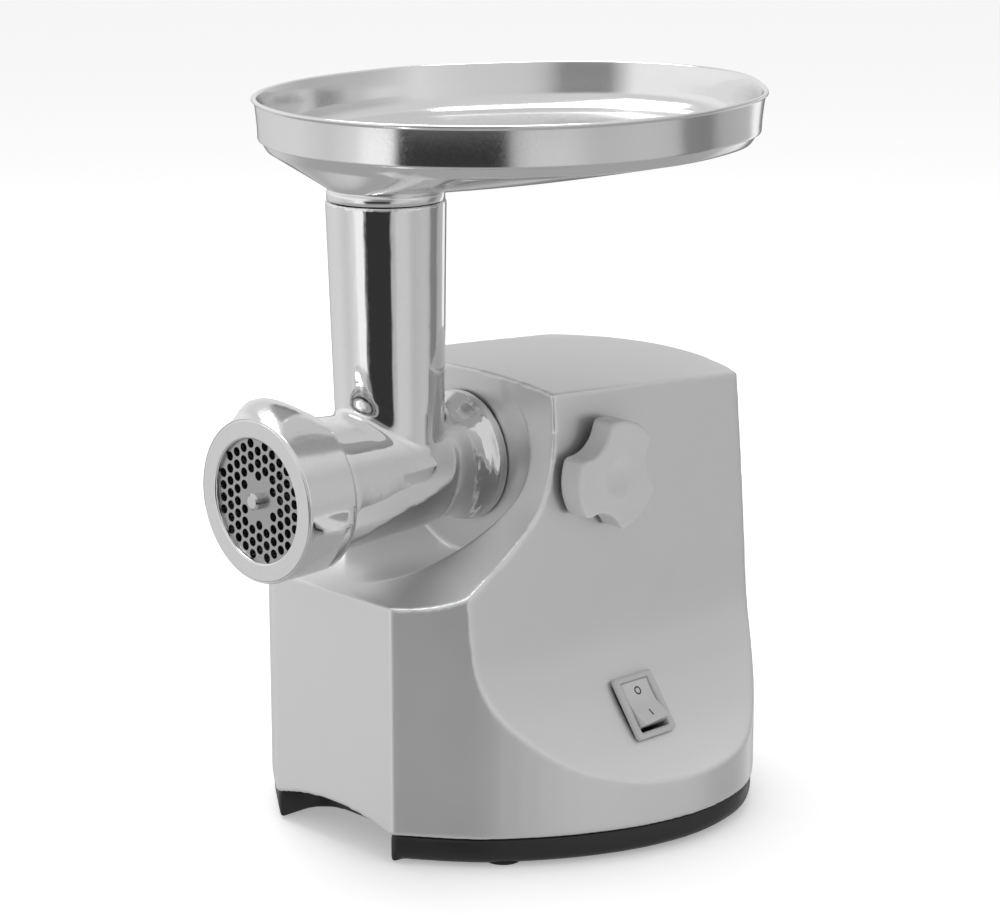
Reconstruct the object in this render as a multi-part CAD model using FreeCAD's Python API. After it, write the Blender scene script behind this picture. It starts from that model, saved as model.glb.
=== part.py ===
# Electric meat grinder, built as separate parts. Millimetres, +Z up, -Y towards the mincing plate.
import FreeCAD, Part
import math
import os

V = FreeCAD.Vector
X = V(1, 0, 0)
Y = V(0, 1, 0)
Z = V(0, 0, 1)

# ---------------------------------------------------------------- driving dimensions
# housing
BODY_HALF_W = 118.8        # half width of the drum at its widest
CHIN_HALF_W = 41.0         # half width of the flat chin
CHIN_Y = 42.5              # chin's front face
BODY_BACK_Y = 272.0        # rear of the drum
CHIN_TOP = 123.0           # height of the chin's top edge
TOP_FRONT_Z = 214.0        # crowned top's ridge above its front edge
TOP_SLOPE = 3.6            # degrees, top falls towards the back
TOP_CROWN_R = 690.0
WALL = 2.5                 # housing wall
# base
FOOT_DROP = 1.0            # rubber pads stand this far below the plinth
PLINTH_H = 13.0
PLINTH_WALL = 3.0
# head
AXIS_Z = 172.0             # barrel axis above the floor
NUT_R = 37.5
NUT_LEN = 28.0
NUT_OPEN_R = 28.0          # opening in the nut's front lip
NUT_LIP = 2.0
PLATE_R = 31.0             # size 8 mincing plate, 62 mm across
PLATE_T = 5.0
PLATE_HOLE_R = 2.15
PLATE_PITCH = 5.65
HUB_CLEAR_R = 10.5
FEED_SCREW_R = 24.3
FEED_BORE_R = 25.2
FLANGE_R = 31.0
FLANGE_BACK = 126.5        # head's rear flange face
BOWL_R = 48.5              # bowl in the housing behind the head
BOWL_BACK = 127.0
SPIGOT_R = 27.0
SPIGOT_END = 156.0
# feed tube
TUBE_Y = 79.5
TUBE_TOP = 298.3
TUBE_TOP_R = 27.4
TUBE_LOW_R = 24.6
TUBE_BORE_R = 22.6
BORE_FOOT_Z = 206.0        # the bore is eased below this height
# tray
TRAY_TOP = 337.5
TRAY_WALL_H = 18.5
TRAY_T = 1.3
TRAY_SEAT = 16.0           # how far the tray's spigot drops into the tube
# lock knob and switch
KNOB_Y = 148.0
KNOB_R = 26.0
KNOB_T = 12.4
SWITCH_Y = 158.0
SWITCH_Z = 60.1
SWITCH_X = 87.5
SWITCH_LEAN = 35.5         # degrees, panel's outward normal above level
# gear train
MODULE_1 = 0.9
TEETH_M = 10
TEETH_A = 80
MODULE_2 = 1.5
TEETH_P = 12
TEETH_OUT = 36
GEAR_A_X = 18.0
MOTOR_R = 40.0
# clearances
RUN = 0.05                 # radial, shaft in bush
FREE = 0.3                 # radial, parts that slide or turn by hand
FIT = 0.02                 # radial, assembled parts that stay put

GEAR_A_RAD = MODULE_1 * TEETH_A / 2
PINION_M_RAD = MODULE_1 * TEETH_M / 2
PINION_A_RAD = MODULE_2 * TEETH_P / 2
GEAR_OUT_RAD = MODULE_2 * TEETH_OUT / 2
CENTRES_1 = GEAR_A_RAD + PINION_M_RAD
CENTRES_2 = GEAR_OUT_RAD + PINION_A_RAD
GEAR_A_Z = AXIS_Z - math.sqrt(CENTRES_2 ** 2 - GEAR_A_X ** 2)
MOTOR_Z = GEAR_A_Z - math.sqrt(CENTRES_1 ** 2 - GEAR_A_X ** 2)
METAL_Z = FOOT_DROP + PLINTH_H      # lower edge of the housing metal

# levels along the barrel axis
PLATE_Y0 = NUT_LIP + 0.05
PLATE_Y1 = PLATE_Y0 + PLATE_T
KNIFE_Y0 = PLATE_Y1 + 0.1
KNIFE_T = 6.5
KNIFE_Y1 = KNIFE_Y0 + KNIFE_T
CHAMBER_END = 17.0
BORE_END = 112.0
TAIL_BACK = 170.0
SOCKET_Y0 = 158.5
CASE_Y0 = 160.0
CASE_Y1 = 200.0
COVER_T = 3.5
OUT_GEAR_Y0 = 170.0
OUT_GEAR_W = 12.0
GEAR_A_Y0 = 188.5
GEAR_A_W = 9.0
BRACKET_Y0 = 183.5
BRACKET_T = 3.5

parts = {}


# ---------------------------------------------------------------- helpers
def cyl_y(r, y0, y1, x=0.0, z=AXIS_Z):
    return Part.makeCylinder(r, y1 - y0, V(x, y0, z), Y)


def cyl_z(r, z0, z1, x, y):
    return Part.makeCylinder(r, z1 - z0, V(x, y, z0), Z)


def cyl_x(r, x0, x1, y, z):
    return Part.makeCylinder(r, x1 - x0, V(x0, y, z), X)


def cone_y(r0, r1, y0, y1, x=0.0, z=AXIS_Z):
    return Part.makeCone(r0, r1, y1 - y0, V(x, y0, z), Y)


def box(x0, x1, y0, y1, z0, z1):
    return Part.makeBox(x1 - x0, y1 - y0, z1 - z0, V(x0, y0, z0))


def ring_y(r_out, r_in, y0, y1, x=0.0, z=AXIS_Z):
    return cyl_y(r_out, y0, y1, x, z).cut(cyl_y(r_in, y0 - 1, y1 + 1, x, z))


def polygon(points):
    return Part.makePolygon([V(*p) for p in points] + [V(*points[0])])


def prism(points, vec):
    return Part.Face(polygon(points)).extrude(vec)


def spline(points):
    c = Part.BSplineCurve()
    c.interpolate([V(*p) for p in points])
    return c.toShape()


def turned_y(profile, x=0.0, z=AXIS_Z):
    """Solid of revolution about the Y line through x, z from (radius, y) points."""
    face = Part.Face(polygon([(x + r, y, z) for r, y in profile]))
    return face.revolve(V(x, 0, z), Y, 360)


def polar_y(shape, count, x=0.0, z=AXIS_Z, start=0.0):
    out = []
    for i in range(count):
        s = shape.copy()
        s.rotate(V(x, 0, z), Y, start + 360.0 * i / count)
        out.append(s)
    return out


def gear(module, teeth, width, y0, x, z, phase, bore, add):
    """Spur gear along Y. phase is the direction in degrees, in XZ, of one tooth's middle."""
    r = module * teeth / 2
    rb = r * math.cos(math.radians(20))
    ra = r + add * module
    rf = r - 1.25 * module
    inv_p = math.tan(math.radians(20)) - math.radians(20)
    half_p = math.pi / (2 * teeth) - 0.1 * module / r
    pts = []
    radii = [max(rb, rf + 0.02) + (ra - max(rb, rf + 0.02)) * k / 4 for k in range(5)]
    for t in range(teeth):
        mid = math.radians(phase) + 2 * math.pi * t / teeth
        flank = []
        for rad in radii:
            a = math.acos(min(1.0, rb / rad))
            flank.append((rad, half_p + inv_p - (math.tan(a) - a)))
        root_half = flank[0][1]
        side_a = [(rf, -root_half)] + [(rad, -h) for rad, h in flank]
        side_b = [(rad, h) for rad, h in reversed(flank)] + [(rf, root_half)]
        for rad, h in side_a + side_b:
            pts.append((x + rad * math.cos(mid + h), y0, z + rad * math.sin(mid + h)))
    solid = prism(pts, V(0, width, 0))
    return solid.cut(cyl_y(bore, y0 - 1, y0 + width + 1, x, z))


def direction(x0, z0, x1, z1):
    return math.degrees(math.atan2(z1 - z0, x1 - x0))


# ---------------------------------------------------------------- housing surfaces
DEPTH = BODY_BACK_Y - CHIN_Y
# right half of the drum's plan from the chin corner to the back: fractions of half width and of depth
PLAN = [(0.345, 0.0), (0.497, 0.057), (0.614, 0.108), (0.714, 0.169), (0.803, 0.235), (0.881, 0.308),
        (0.945, 0.388), (0.989, 0.482), (1.0, 0.547), (0.983, 0.634), (0.930, 0.722), (0.822, 0.806),
        (0.650, 0.893), (0.420, 0.958), (0.190, 0.991), (0.0, 1.0)]
# half width of the side panels against height
PANEL = [(240, 61.5), (206, 64.2), (166, 67.0), (126, 69.6), (104, 70.9), (90.6, 72.6), (78.7, 76.2),
         (70.5, 80.3), (64, 84.6), (56.6, 90.1), (50, 95.5), (45.5, 99.9), (41.7, 104.5),
         (38.4, 109), (35.2, 114.5), (33, 120), (31.0, 127)]
# front sweep in the middle plane: y against height
SWEEP = [(CHIN_Y, CHIN_TOP), (62, 124.5), (72, 128.6), (80, 133.3), (92, 140.2), (105, 149.2), (117, 160),
         (124, 173), (127, 186), (128, 201), (128.5, 245)]
SWEEP_AXIS_Y = -250.0


def plan_face(inset, z):
    """Drum outline moved inwards by inset."""
    pts = [V(fx * BODY_HALF_W, CHIN_Y + fy * DEPTH, z) for fx, fy in PLAN]
    pts[0] = V(CHIN_HALF_W, CHIN_Y, z)
    pts = pts + [V(-p.x, p.y, z) for p in reversed(pts[:-1])]
    curve = Part.BSplineCurve()
    curve.interpolate(pts)
    moved = []
    for p in pts:
        t = curve.tangent(curve.parameter(p))[0]
        moved.append(p + V(-t.y, t.x, 0) * inset)
    t = curve.tangent(curve.parameter(pts[0]))[0]
    phi = math.atan2(t.y, t.x)
    corner = CHIN_HALF_W - inset * math.sin(phi) + inset * math.tan(phi / 2) * math.cos(phi)
    moved[0] = V(corner, CHIN_Y + inset, z)
    moved[-1] = V(-corner, CHIN_Y + inset, z)
    curve = Part.BSplineCurve()
    curve.interpolate(moved)
    return Part.Face(Part.Wire([Part.makeLine(moved[-1], moved[0]), curve.toShape()]))


def panel_cutter(inset, side):
    """Everything outside one flared side panel."""
    pts = [((x - inset) * side, CHIN_Y - 30, z) for z, x in PANEL]
    edge = spline(pts)
    far = [(pts[-1]), (190 * side, CHIN_Y - 30, PANEL[-1][0]), (190 * side, CHIN_Y - 30, PANEL[0][0]), pts[0]]
    rest = Part.makePolygon([V(*p) for p in far])
    face = Part.Face(Part.Wire([edge] + rest.Edges))
    return face.extrude(V(0, DEPTH + 60, 0))


def sweep_cutter(inset):
    """Space in front of the concave front, a surface turned about a distant upright axis."""
    pts = [(0, y + inset * k, z - inset) for (y, z), k in zip(SWEEP, [0, 0, 0.3, 0.5, 0.6, 0.8, 1, 1, 1, 1, 1])]
    pts[0] = (0, CHIN_Y - 30, CHIN_TOP - inset)
    pts.insert(1, (0, CHIN_Y, CHIN_TOP - inset))
    edge = spline(pts[1:])
    tail = [V(0, pts[-1][1], pts[-1][2]), V(0, CHIN_Y - 30, pts[-1][2]), V(*pts[0]), V(*pts[1])]
    face = Part.Face(Part.Wire([edge] + Part.makePolygon(tail).Edges))
    face.rotate(V(0, SWEEP_AXIS_Y, 0), Z, -35)
    return face.revolve(V(0, SWEEP_AXIS_Y, 0), Z, 70)


def crown(inset):
    """Round bar lying front to back whose upper side is the crowned, sloping top."""
    a = math.radians(TOP_SLOPE)
    along = V(0, math.cos(a), -math.sin(a))
    up = V(0, math.sin(a), math.cos(a))
    base = V(0, 126, TOP_FRONT_Z - inset) - up * TOP_CROWN_R - along * 250
    return Part.makeCylinder(TOP_CROWN_R, 700, base, along)


def housing_block(inset):
    z0 = METAL_Z - (1 if inset else 0)
    block = plan_face(inset, z0).extrude(V(0, 0, 245 - z0))
    block = block.cut(panel_cutter(inset, 1)).cut(panel_cutter(inset, -1))
    block = block.cut(sweep_cutter(inset))
    return block.common(crown(inset))


# ---------------------------------------------------------------- housing shell
outer = housing_block(0)
inner = housing_block(WALL)
bowl = cyl_y(BOWL_R, 0, BOWL_BACK)
bowl_skin = cyl_y(BOWL_R + WALL, 0, BOWL_BACK + WALL)
inner = inner.cut(bowl_skin)
housing = outer.cut(bowl).cut(inner)
housing = housing.cut(cyl_y(SPIGOT_R + 1.5, BOWL_BACK - 2, BOWL_BACK + WALL + 2))
# arch along the chin's lower edge
ARCH_RISE = 5.5
ARCH_R = (CHIN_HALF_W - 3) ** 2 / (2 * ARCH_RISE) + ARCH_RISE / 2
arch = cyl_y(ARCH_R, CHIN_Y - 5, CHIN_Y + WALL + 1.5, 0, METAL_Z + ARCH_RISE - ARCH_R)
housing = housing.cut(arch)
# holes for the lock screw, the switch and the cord bushing
LOCK_SCREW_R = 5.0
housing = housing.cut(cyl_x(LOCK_SCREW_R + 1.0, 40, 90, KNOB_Y, AXIS_Z))
SWITCH_W = 26.0
SWITCH_L = 31.0
SWITCH_BODY_W = 21.5
SWITCH_BODY_L = 27.0
SWITCH_BODY_D = 20.0


def to_panel(shape):
    """Moves a part drawn lying in XY (X along the slope, Z outwards) onto the switch panel."""
    s = shape.copy()
    s.rotate(V(0, 0, 0), Y, 90 - SWITCH_LEAN)
    s.translate(V(SWITCH_X, SWITCH_Y, SWITCH_Z))
    return s


def block_xyz(lx, ly, z0, z1):
    return Part.makeBox(lx, ly, z1 - z0, V(-lx / 2, -ly / 2, z0))


housing = housing.cut(to_panel(block_xyz(SWITCH_BODY_L + 0.6, SWITCH_BODY_W + 0.6, -15, 15)))
CORD_Z = 34.0
CORD_R = 8.0
housing = housing.cut(cyl_y(CORD_R, BODY_BACK_Y - 12, BODY_BACK_Y + 5, 0, CORD_Z))
parts["housing_shell"] = housing

# ---------------------------------------------------------------- base
RECESS_HALF_W = CHIN_HALF_W - PLINTH_WALL
RECESS_BACK = CHIN_Y + 28.0


def recess(inset, z0, z1):
    """Hand recess under the chin with a rounded back."""
    w = RECESS_HALF_W + inset
    r = 14.0
    shape = box(-w, w, CHIN_Y - 20, RECESS_BACK - r + inset, z0, z1)
    shape = shape.fuse(box(-w + r, w - r, CHIN_Y - 20, RECESS_BACK + inset, z0, z1))
    for sx in (-1, 1):
        shape = shape.fuse(cyl_z(r, z0, z1, sx * (w - r), RECESS_BACK - r + inset))
    return shape


plinth_top = METAL_Z - 0.05
round_h = 5.0
plinth = plan_face(1.0, FOOT_DROP + round_h).extrude(V(0, 0, plinth_top - FOOT_DROP - round_h))
low_a = plan_face(1.0, FOOT_DROP + round_h).OuterWire
low_b = plan_face(2.2, FOOT_DROP + 2.2).OuterWire
low_c = plan_face(5.5, FOOT_DROP).OuterWire
plinth = plinth.fuse(Part.makeLoft([low_b, low_a], True, True))
plinth = plinth.fuse(Part.makeLoft([low_c, low_b], True, True))
plinth = plinth.cut(plan_face(1.0 + PLINTH_WALL + 4.5, FOOT_DROP - 1).extrude(V(0, 0, 30)))
solid_plinth = plan_face(1.0, FOOT_DROP).extrude(V(0, 0, plinth_top - FOOT_DROP))
rim = recess(PLINTH_WALL, FOOT_DROP, plinth_top).common(solid_plinth)
plinth = plinth.fuse(rim).cut(recess(0, -1, 40)).removeSplitter()
# roof of the hand recess, inside the chin and level with the top of its arch
ROOF_Z = METAL_Z + 5.8
inside = plan_face(WALL + 0.6, plinth_top - 0.5).extrude(V(0, 0, ROOF_Z + 2.5 - plinth_top))
pan = recess(PLINTH_WALL, plinth_top - 0.5, ROOF_Z + 2.0).common(inside)
plinth = plinth.fuse(pan.cut(recess(0, -1, ROOF_Z))).removeSplitter()
# seat for the base plate, then the plate itself
BASE_T = 2.5
BASE_Z = 6.0
plate_area = plan_face(1.0 + PLINTH_WALL + 4.5 + FREE, BASE_Z).extrude(V(0, 0, BASE_T))
base_plate = plate_area.cut(recess(PLINTH_WALL + FREE, -1, 40))
for i in range(7):
    for side in (-1, 1):
        xs = side * (16 + 9 * i)
        base_plate = base_plate.cut(box(xs - 2, xs + 2, 150, 190, BASE_Z - 1, BASE_Z + BASE_T + 1))
SCREW_SPOTS = [(-84, 122), (84, 122), (-82, 204), (82, 204)]
FOOT_SPOTS = [(-70.5, 84.5), (70.5, 84.5), (-66, 228), (66, 228)]
FOOT_R = 8.5
FOOT_NECK_R = 2.6
screws = []
posts = []
feet = []
for px, py in SCREW_SPOTS:
    screw = cyl_z(3.6, BASE_Z - 1.6, BASE_Z - 0.02, px, py).fuse(cyl_z(1.9, BASE_Z - 0.1, BASE_Z + 12, px, py))
    screw = screw.cut(box(px - 2.8, px + 2.8, py - 0.4, py + 0.4, BASE_Z - 2, BASE_Z - 0.8))
    screws.append(screw)
    base_plate = base_plate.cut(cyl_z(1.9 + FIT, BASE_Z - 1, BASE_Z + BASE_T + 1, px, py))
for px, py in FOOT_SPOTS:
    base_plate = base_plate.cut(cyl_z(FOOT_NECK_R, BASE_Z - 1, BASE_Z + BASE_T + 1, px, py))
    plinth = plinth.cut(cyl_z(FOOT_R + FREE, -1, BASE_Z, px, py))
    pad = cyl_z(FOOT_R, 0, BASE_Z - 0.02, px, py)
    pad = pad.fuse(cyl_z(FOOT_NECK_R - FIT, BASE_Z - 0.1, BASE_Z + BASE_T + 1, px, py))
    feet.append(pad.fuse(cyl_z(4.0, BASE_Z + BASE_T + 0.02, BASE_Z + BASE_T + 2, px, py)))
parts["base_plinth"] = plinth
parts["base_plate"] = base_plate
parts["rubber_feet"] = Part.makeCompound(feet)
parts["base_screws"] = Part.makeCompound(screws)
# posts that tie the base plate to the housing
for px, py in SCREW_SPOTS:
    post = cyl_z(5.5, BASE_Z + BASE_T + 0.02, METAL_Z + 26, px, py)
    posts.append(post.cut(cyl_z(1.9 + FIT, 0, BASE_Z + 12.5, px, py)))
parts["base_posts"] = Part.makeCompound(posts)

# ---------------------------------------------------------------- socket ring and lock
RING_Y0 = BOWL_BACK + WALL + 1.6
ring = ring_y(38.5, SPIGOT_R + FREE, RING_Y0, RING_Y0 + 5)
ring = ring.fuse(ring_y(32, SPIGOT_R + FREE, RING_Y0 + 4, 158.0))
ring = ring.fuse(cyl_x(9, 28, 56, KNOB_Y, AXIS_Z).cut(cyl_y(SPIGOT_R + FREE, 100, 200)))
ring = ring.cut(cyl_x(LOCK_SCREW_R + FREE, 20, 80, KNOB_Y, AXIS_Z))
ring_screws = []
for i in range(4):
    a = math.radians(45 + 90 * i)
    px = 35.3 * math.cos(a)
    pz = AXIS_Z + 35.3 * math.sin(a)
    ring = ring.cut(cyl_y(1.6 + FIT, RING_Y0 - 1, RING_Y0 + 6, px, pz))
    s = cyl_y(2.8, RING_Y0 + 5.02, RING_Y0 + 7.4, px, pz).fuse(cyl_y(1.6, RING_Y0 + 0.3, RING_Y0 + 6, px, pz))
    ring_screws.append(s.cut(box(px - 2.6, px + 2.6, RING_Y0 + 6.6, RING_Y0 + 8, pz - 0.4, pz + 0.4)))
parts["socket_ring"] = ring
parts["socket_ring_screws"] = Part.makeCompound(ring_screws)

PANEL_AT_KNOB = 68.6       # widest the panel gets beside the knob
KNOB_X0 = PANEL_AT_KNOB + 1.0
KNOB_X1 = KNOB_X0 + KNOB_T
knob = cyl_x(KNOB_R, KNOB_X0, KNOB_X1, KNOB_Y, AXIS_Z)
for ang in (8, 128, 248):
    a = math.radians(ang)
    knob = knob.cut(cyl_x(16.0, KNOB_X0 - 1, KNOB_X1 + 1, KNOB_Y + 34.2 * math.cos(a), AXIS_Z + 34.2 * math.sin(a)))
dish_r = 22.0
knob = knob.cut(Part.makeSphere(dish_r, V(KNOB_X1 + dish_r - 2.2, KNOB_Y, AXIS_Z)))
knob = knob.cut(cyl_x(LOCK_SCREW_R + FIT, KNOB_X0 - 1, KNOB_X0 + 9, KNOB_Y, AXIS_Z))
parts["lock_knob"] = knob
lock = cyl_x(LOCK_SCREW_R, SPIGOT_R + FREE, KNOB_X0 + 9, KNOB_Y, AXIS_Z)
parts["lock_screw"] = lock

# ---------------------------------------------------------------- rocker switch
ROCKER_L = 24.0
ROCKER_W = 17.5
frame = block_xyz(SWITCH_L, SWITCH_W, 1.3, 3.5)
frame = frame.fuse(block_xyz(SWITCH_BODY_L, SWITCH_BODY_W, -SWITCH_BODY_D, 1.4))
well = block_xyz(ROCKER_L + 0.8, ROCKER_W + 0.8, -9.5, 6)
frame = frame.cut(well)
PIVOT_Z = -3.0
pin = Part.makeCylinder(1.2, SWITCH_BODY_W - 0.6, V(0, -(SWITCH_BODY_W - 0.6) / 2, PIVOT_Z), Y)
frame = frame.cut(Part.makeCylinder(1.2 + FIT, SWITCH_BODY_W - 0.6, V(0, -(SWITCH_BODY_W - 0.6) / 2, PIVOT_Z), Y))
ROCKER_TILT = 11.0         # each way from the middle
half = [(10.9, 5.0), (11.2, 0.0), (9.0, -3.0), (3.0, -6.0)]
rock = [(a, -ROCKER_W / 2, c) for a, c in half] + [(-a, -ROCKER_W / 2, c) for a, c in reversed(half)]
rocker = prism(rock + [(0, -ROCKER_W / 2, 3.0)], V(0, ROCKER_W, 0))
rocker.rotate(V(0, 0, PIVOT_Z), Y, -ROCKER_TILT)
rocker = rocker.cut(Part.makeCylinder(1.2 + RUN, 30, V(0, -15, PIVOT_Z), Y))
tabs = [block_xyz(0.8, 6.3, -SWITCH_BODY_D - 8, -SWITCH_BODY_D - 0.02) for k in range(3)]
for k, t in enumerate(tabs):
    t.translate(V(-8 + 8 * k, 0, 0))
parts["switch_frame"] = to_panel(frame)
parts["switch_rocker"] = to_panel(rocker)
parts["switch_pivot_pin"] = to_panel(pin)
parts["switch_terminals"] = to_panel(Part.makeCompound(tabs))

# ---------------------------------------------------------------- cord bushing
bush_y1 = BODY_BACK_Y + 2.0
gland = cyl_y(CORD_R + 3, BODY_BACK_Y + 0.4, bush_y1, 0, CORD_Z)
gland = gland.fuse(cyl_y(CORD_R - FIT, BODY_BACK_Y - 6, BODY_BACK_Y + 1, 0, CORD_Z))
gland = gland.fuse(cyl_y(CORD_R + 2.5, BODY_BACK_Y - 8, BODY_BACK_Y - 3.6, 0, CORD_Z))
parts["cord_bushing"] = gland.cut(cyl_y(4.0, BODY_BACK_Y - 12, bush_y1 + 1, 0, CORD_Z))

# ---------------------------------------------------------------- grinding head
THREAD_R = 33.6
barrel = turned_y([(0, 4.4), (THREAD_R, 4.4), (THREAD_R, 26.0), (31.5, 27.5), (31.5, 34), (29.2, 70), (28.4, 95),
                   (26.4, 106), (26.0, 112), (27.4, 118), (FLANGE_R, 122), (FLANGE_R, FLANGE_BACK),
                   (SPIGOT_R, FLANGE_BACK), (SPIGOT_R, SPIGOT_END), (0, SPIGOT_END)])
tube = Part.makeCone(TUBE_LOW_R, TUBE_TOP_R, TUBE_TOP - 170, V(0, TUBE_Y + 1.5, 170), Z)
tilt = math.degrees(math.atan2(1.5, TUBE_TOP - 170))
tube.rotate(V(0, TUBE_Y + 1.5, 170), X, tilt)
tube = tube.common(box(-60, 60, 0, 200, 160, TUBE_TOP))
head = barrel.fuse(tube)
head = head.cut(cyl_y(PLATE_R + 0.15, 0, CHAMBER_END))
head = head.cut(cyl_y(FEED_BORE_R, CHAMBER_END - 1, BORE_END))
head = head.cut(cyl_z(TUBE_BORE_R, AXIS_Z, TUBE_TOP + 2, 0, TUBE_Y))
head = head.cut(cyl_z(TUBE_BORE_R + 0.4, AXIS_Z, BORE_FOOT_Z, 0, TUBE_Y))
head = head.cut(cyl_z(TUBE_BORE_R + 2.2, TUBE_TOP - TRAY_SEAT - 1.5, TUBE_TOP + 2, 0, TUBE_Y))
JOURNAL_R = 9.0
head = head.cut(cyl_y(JOURNAL_R + RUN, BORE_END - 1, 126))
head = head.cut(cyl_y(19.0, 124, SPIGOT_END + 1))
parts["grinder_head"] = head.removeSplitter()

# ring nut with three crowned grips, each steep at one end and running out at the other
nut = turned_y([(NUT_OPEN_R, 0.8), (NUT_OPEN_R + 0.8, 0), (NUT_R - 1.2, 0), (NUT_R, 1.2), (NUT_R - 0.6, NUT_LEN - 1),
                (NUT_R - 1.6, NUT_LEN), (THREAD_R + FREE, NUT_LEN), (THREAD_R + FREE, NUT_LIP + 2.2),
                (PLATE_R + FREE, NUT_LIP + 2.2), (PLATE_R + FREE, NUT_LIP), (NUT_OPEN_R, NUT_LIP)])
GRIP_R = 44.2
# grip outline: degrees from straight up towards the knob's side, and radius
GRIP = [(-31, 36.0), (-30, 37.4), (-22, 44.4), (-17, 44.6), (-10, 43.2), (0, 41.4), (10, 39.9), (19, 38.8),
        (30, 37.9), (40, 37.2), (41, 36.0)]
crowned = turned_y([(0, 1.6), (37.0, 1.6), (40.2, 3.6), (42.6, 7.0), (GRIP_R - 0.3, 10.5), (GRIP_R, 13.5),
                    (GRIP_R - 0.3, 16.5), (42.8, 20.0), (40.6, 23.8), (37.0, 26.8), (0, 26.8)])
grip_points = []
for deg, r in GRIP:
    a = math.radians(deg)
    grip_points.append((r * math.sin(a), 1.0, AXIS_Z + r * math.cos(a)))
grip = prism(grip_points, V(0, NUT_LEN, 0)).common(crowned)
grip = grip.cut(cyl_y(NUT_R - 1.5, 0, 40))
nut_parts = polar_y(grip, 3, 0, AXIS_Z, 0)
for piece in nut_parts:
    nut = nut.fuse(piece)
parts["ring_nut"] = nut.removeSplitter()

# mincing plate
plate = cyl_y(PLATE_R, PLATE_Y0, PLATE_Y1)
STUD_R = 3.8
holes = [cyl_y(STUD_R + RUN, PLATE_Y0 - 1, PLATE_Y1 + 1)]
row = PLATE_PITCH * math.sqrt(3) / 2
for i in range(-6, 7):
    for j in range(-6, 7):
        hx = i * row
        hz = (j + 0.5 * (i % 2)) * PLATE_PITCH
        d = math.hypot(hx, hz)
        if HUB_CLEAR_R < d + 0.5 and d + PLATE_HOLE_R < 28.2 and d > HUB_CLEAR_R:
            holes.append(cyl_y(PLATE_HOLE_R, PLATE_Y0 - 1, PLATE_Y1 + 1, hx, AXIS_Z + hz))
plate = plate.cut(Part.makeCompound(holes))
parts["mincing_plate"] = plate

# knife with four curved wings
KNIFE_SQ = 8.6
knife = cyl_y(9.5, KNIFE_Y0, KNIFE_Y1)
wing = box(-4.2, 4.2, KNIFE_Y0, KNIFE_Y1, AXIS_Z, AXIS_Z + 28.5)
wing = wing.cut(prism([(-4.3, KNIFE_Y0 + 2, AXIS_Z), (-4.3, KNIFE_Y1 + 1, AXIS_Z), (0.5, KNIFE_Y1 + 1, AXIS_Z)], V(0, 0, 40)))
for piece in polar_y(wing, 4, 0, AXIS_Z, 20):
    knife = knife.fuse(piece)
half_sq = KNIFE_SQ / 2 + 0.03
knife = knife.cut(box(-half_sq, half_sq, KNIFE_Y0 - 1, KNIFE_Y1 + 1, AXIS_Z - half_sq, AXIS_Z + half_sq))
parts["cutter_knife"] = knife.removeSplitter()

# feed screw: tapered core with a helical flight
SCREW_Y0 = KNIFE_Y1 + 0.3
SCREW_Y1 = BORE_END - 2.0
core = cone_y(8.5, 13.5, SCREW_Y0, SCREW_Y1 + 0.1)
PITCH = 30.0
flight_len = SCREW_Y1 - SCREW_Y0 - 8
helix = Part.makeHelix(PITCH, flight_len, 7.0)
section = polygon([(7.0, 0, -3.4), (FEED_SCREW_R, 0, -1.5), (FEED_SCREW_R, 0, 1.5), (7.0, 0, 3.4)])
flight = Part.Wire(helix).makePipeShell([section], True, True)
flight.rotate(V(0, 0, 0), X, -90)
flight.translate(V(0, SCREW_Y0 + 4, AXIS_Z))
screw_body = core.fuse(flight)
screw_body = screw_body.common(cyl_y(FEED_SCREW_R, SCREW_Y0, SCREW_Y1))
screw_body = screw_body.cut(cyl_y(4.5, SCREW_Y0 - 1, SCREW_Y0 + 14))
TAIL_SINK = 16.0
screw_body = screw_body.cut(cyl_y(JOURNAL_R, SCREW_Y1 - TAIL_SINK, SCREW_Y1 + 1))
parts["feed_screw"] = screw_body
s2 = KNIFE_SQ / 2
stud = box(-s2, s2, KNIFE_Y0, KNIFE_Y1 + 0.2, AXIS_Z - s2, AXIS_Z + s2)
stud = stud.common(cyl_y(5.4, KNIFE_Y0 - 1, KNIFE_Y1 + 1)).fuse(cyl_y(4.5 - FIT, KNIFE_Y1, SCREW_Y0 + 13.9))
stud = stud.fuse(cyl_y(STUD_R, -1.2, KNIFE_Y0 + 0.1)).fuse(cone_y(STUD_R - 0.9, STUD_R, -2.1, -1.2))
parts["screw_stud"] = stud
TAIL_SQ = 12.0
t2 = TAIL_SQ / 2
tail = cyl_y(JOURNAL_R - FIT, SCREW_Y1 - TAIL_SINK + 0.05, BORE_END)
tail = tail.fuse(cyl_y(JOURNAL_R, SCREW_Y1 + 0.01, 127))
tail = tail.fuse(box(-t2, t2, 126, TAIL_BACK, AXIS_Z - t2, AXIS_Z + t2))
parts["drive_tail"] = tail
washer = ring_y(16.0, JOURNAL_R + 0.1, SCREW_Y1 + 0.15, BORE_END - 0.1)
parts["thrust_washer"] = washer

# ---------------------------------------------------------------- hopper tray
# half outline: radius from the tray's middle, every 15 degrees from its far end round to the tube end
TRAY_HALF = [166.0, 160.5, 146.0, 135.5, 126.0, 117.5, 112.5, 109.5, 108.5, 108.0, 108.0, 109.0, 109.5]
TRAY_RADII = TRAY_HALF + TRAY_HALF[-2:0:-1]
TRAY_OFF = 76.0            # tray's middle behind the tube's axis
TRAY_TURN = 10.0           # degrees the tray is turned on the tube
TRAY_SCALE = 1.0


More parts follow.
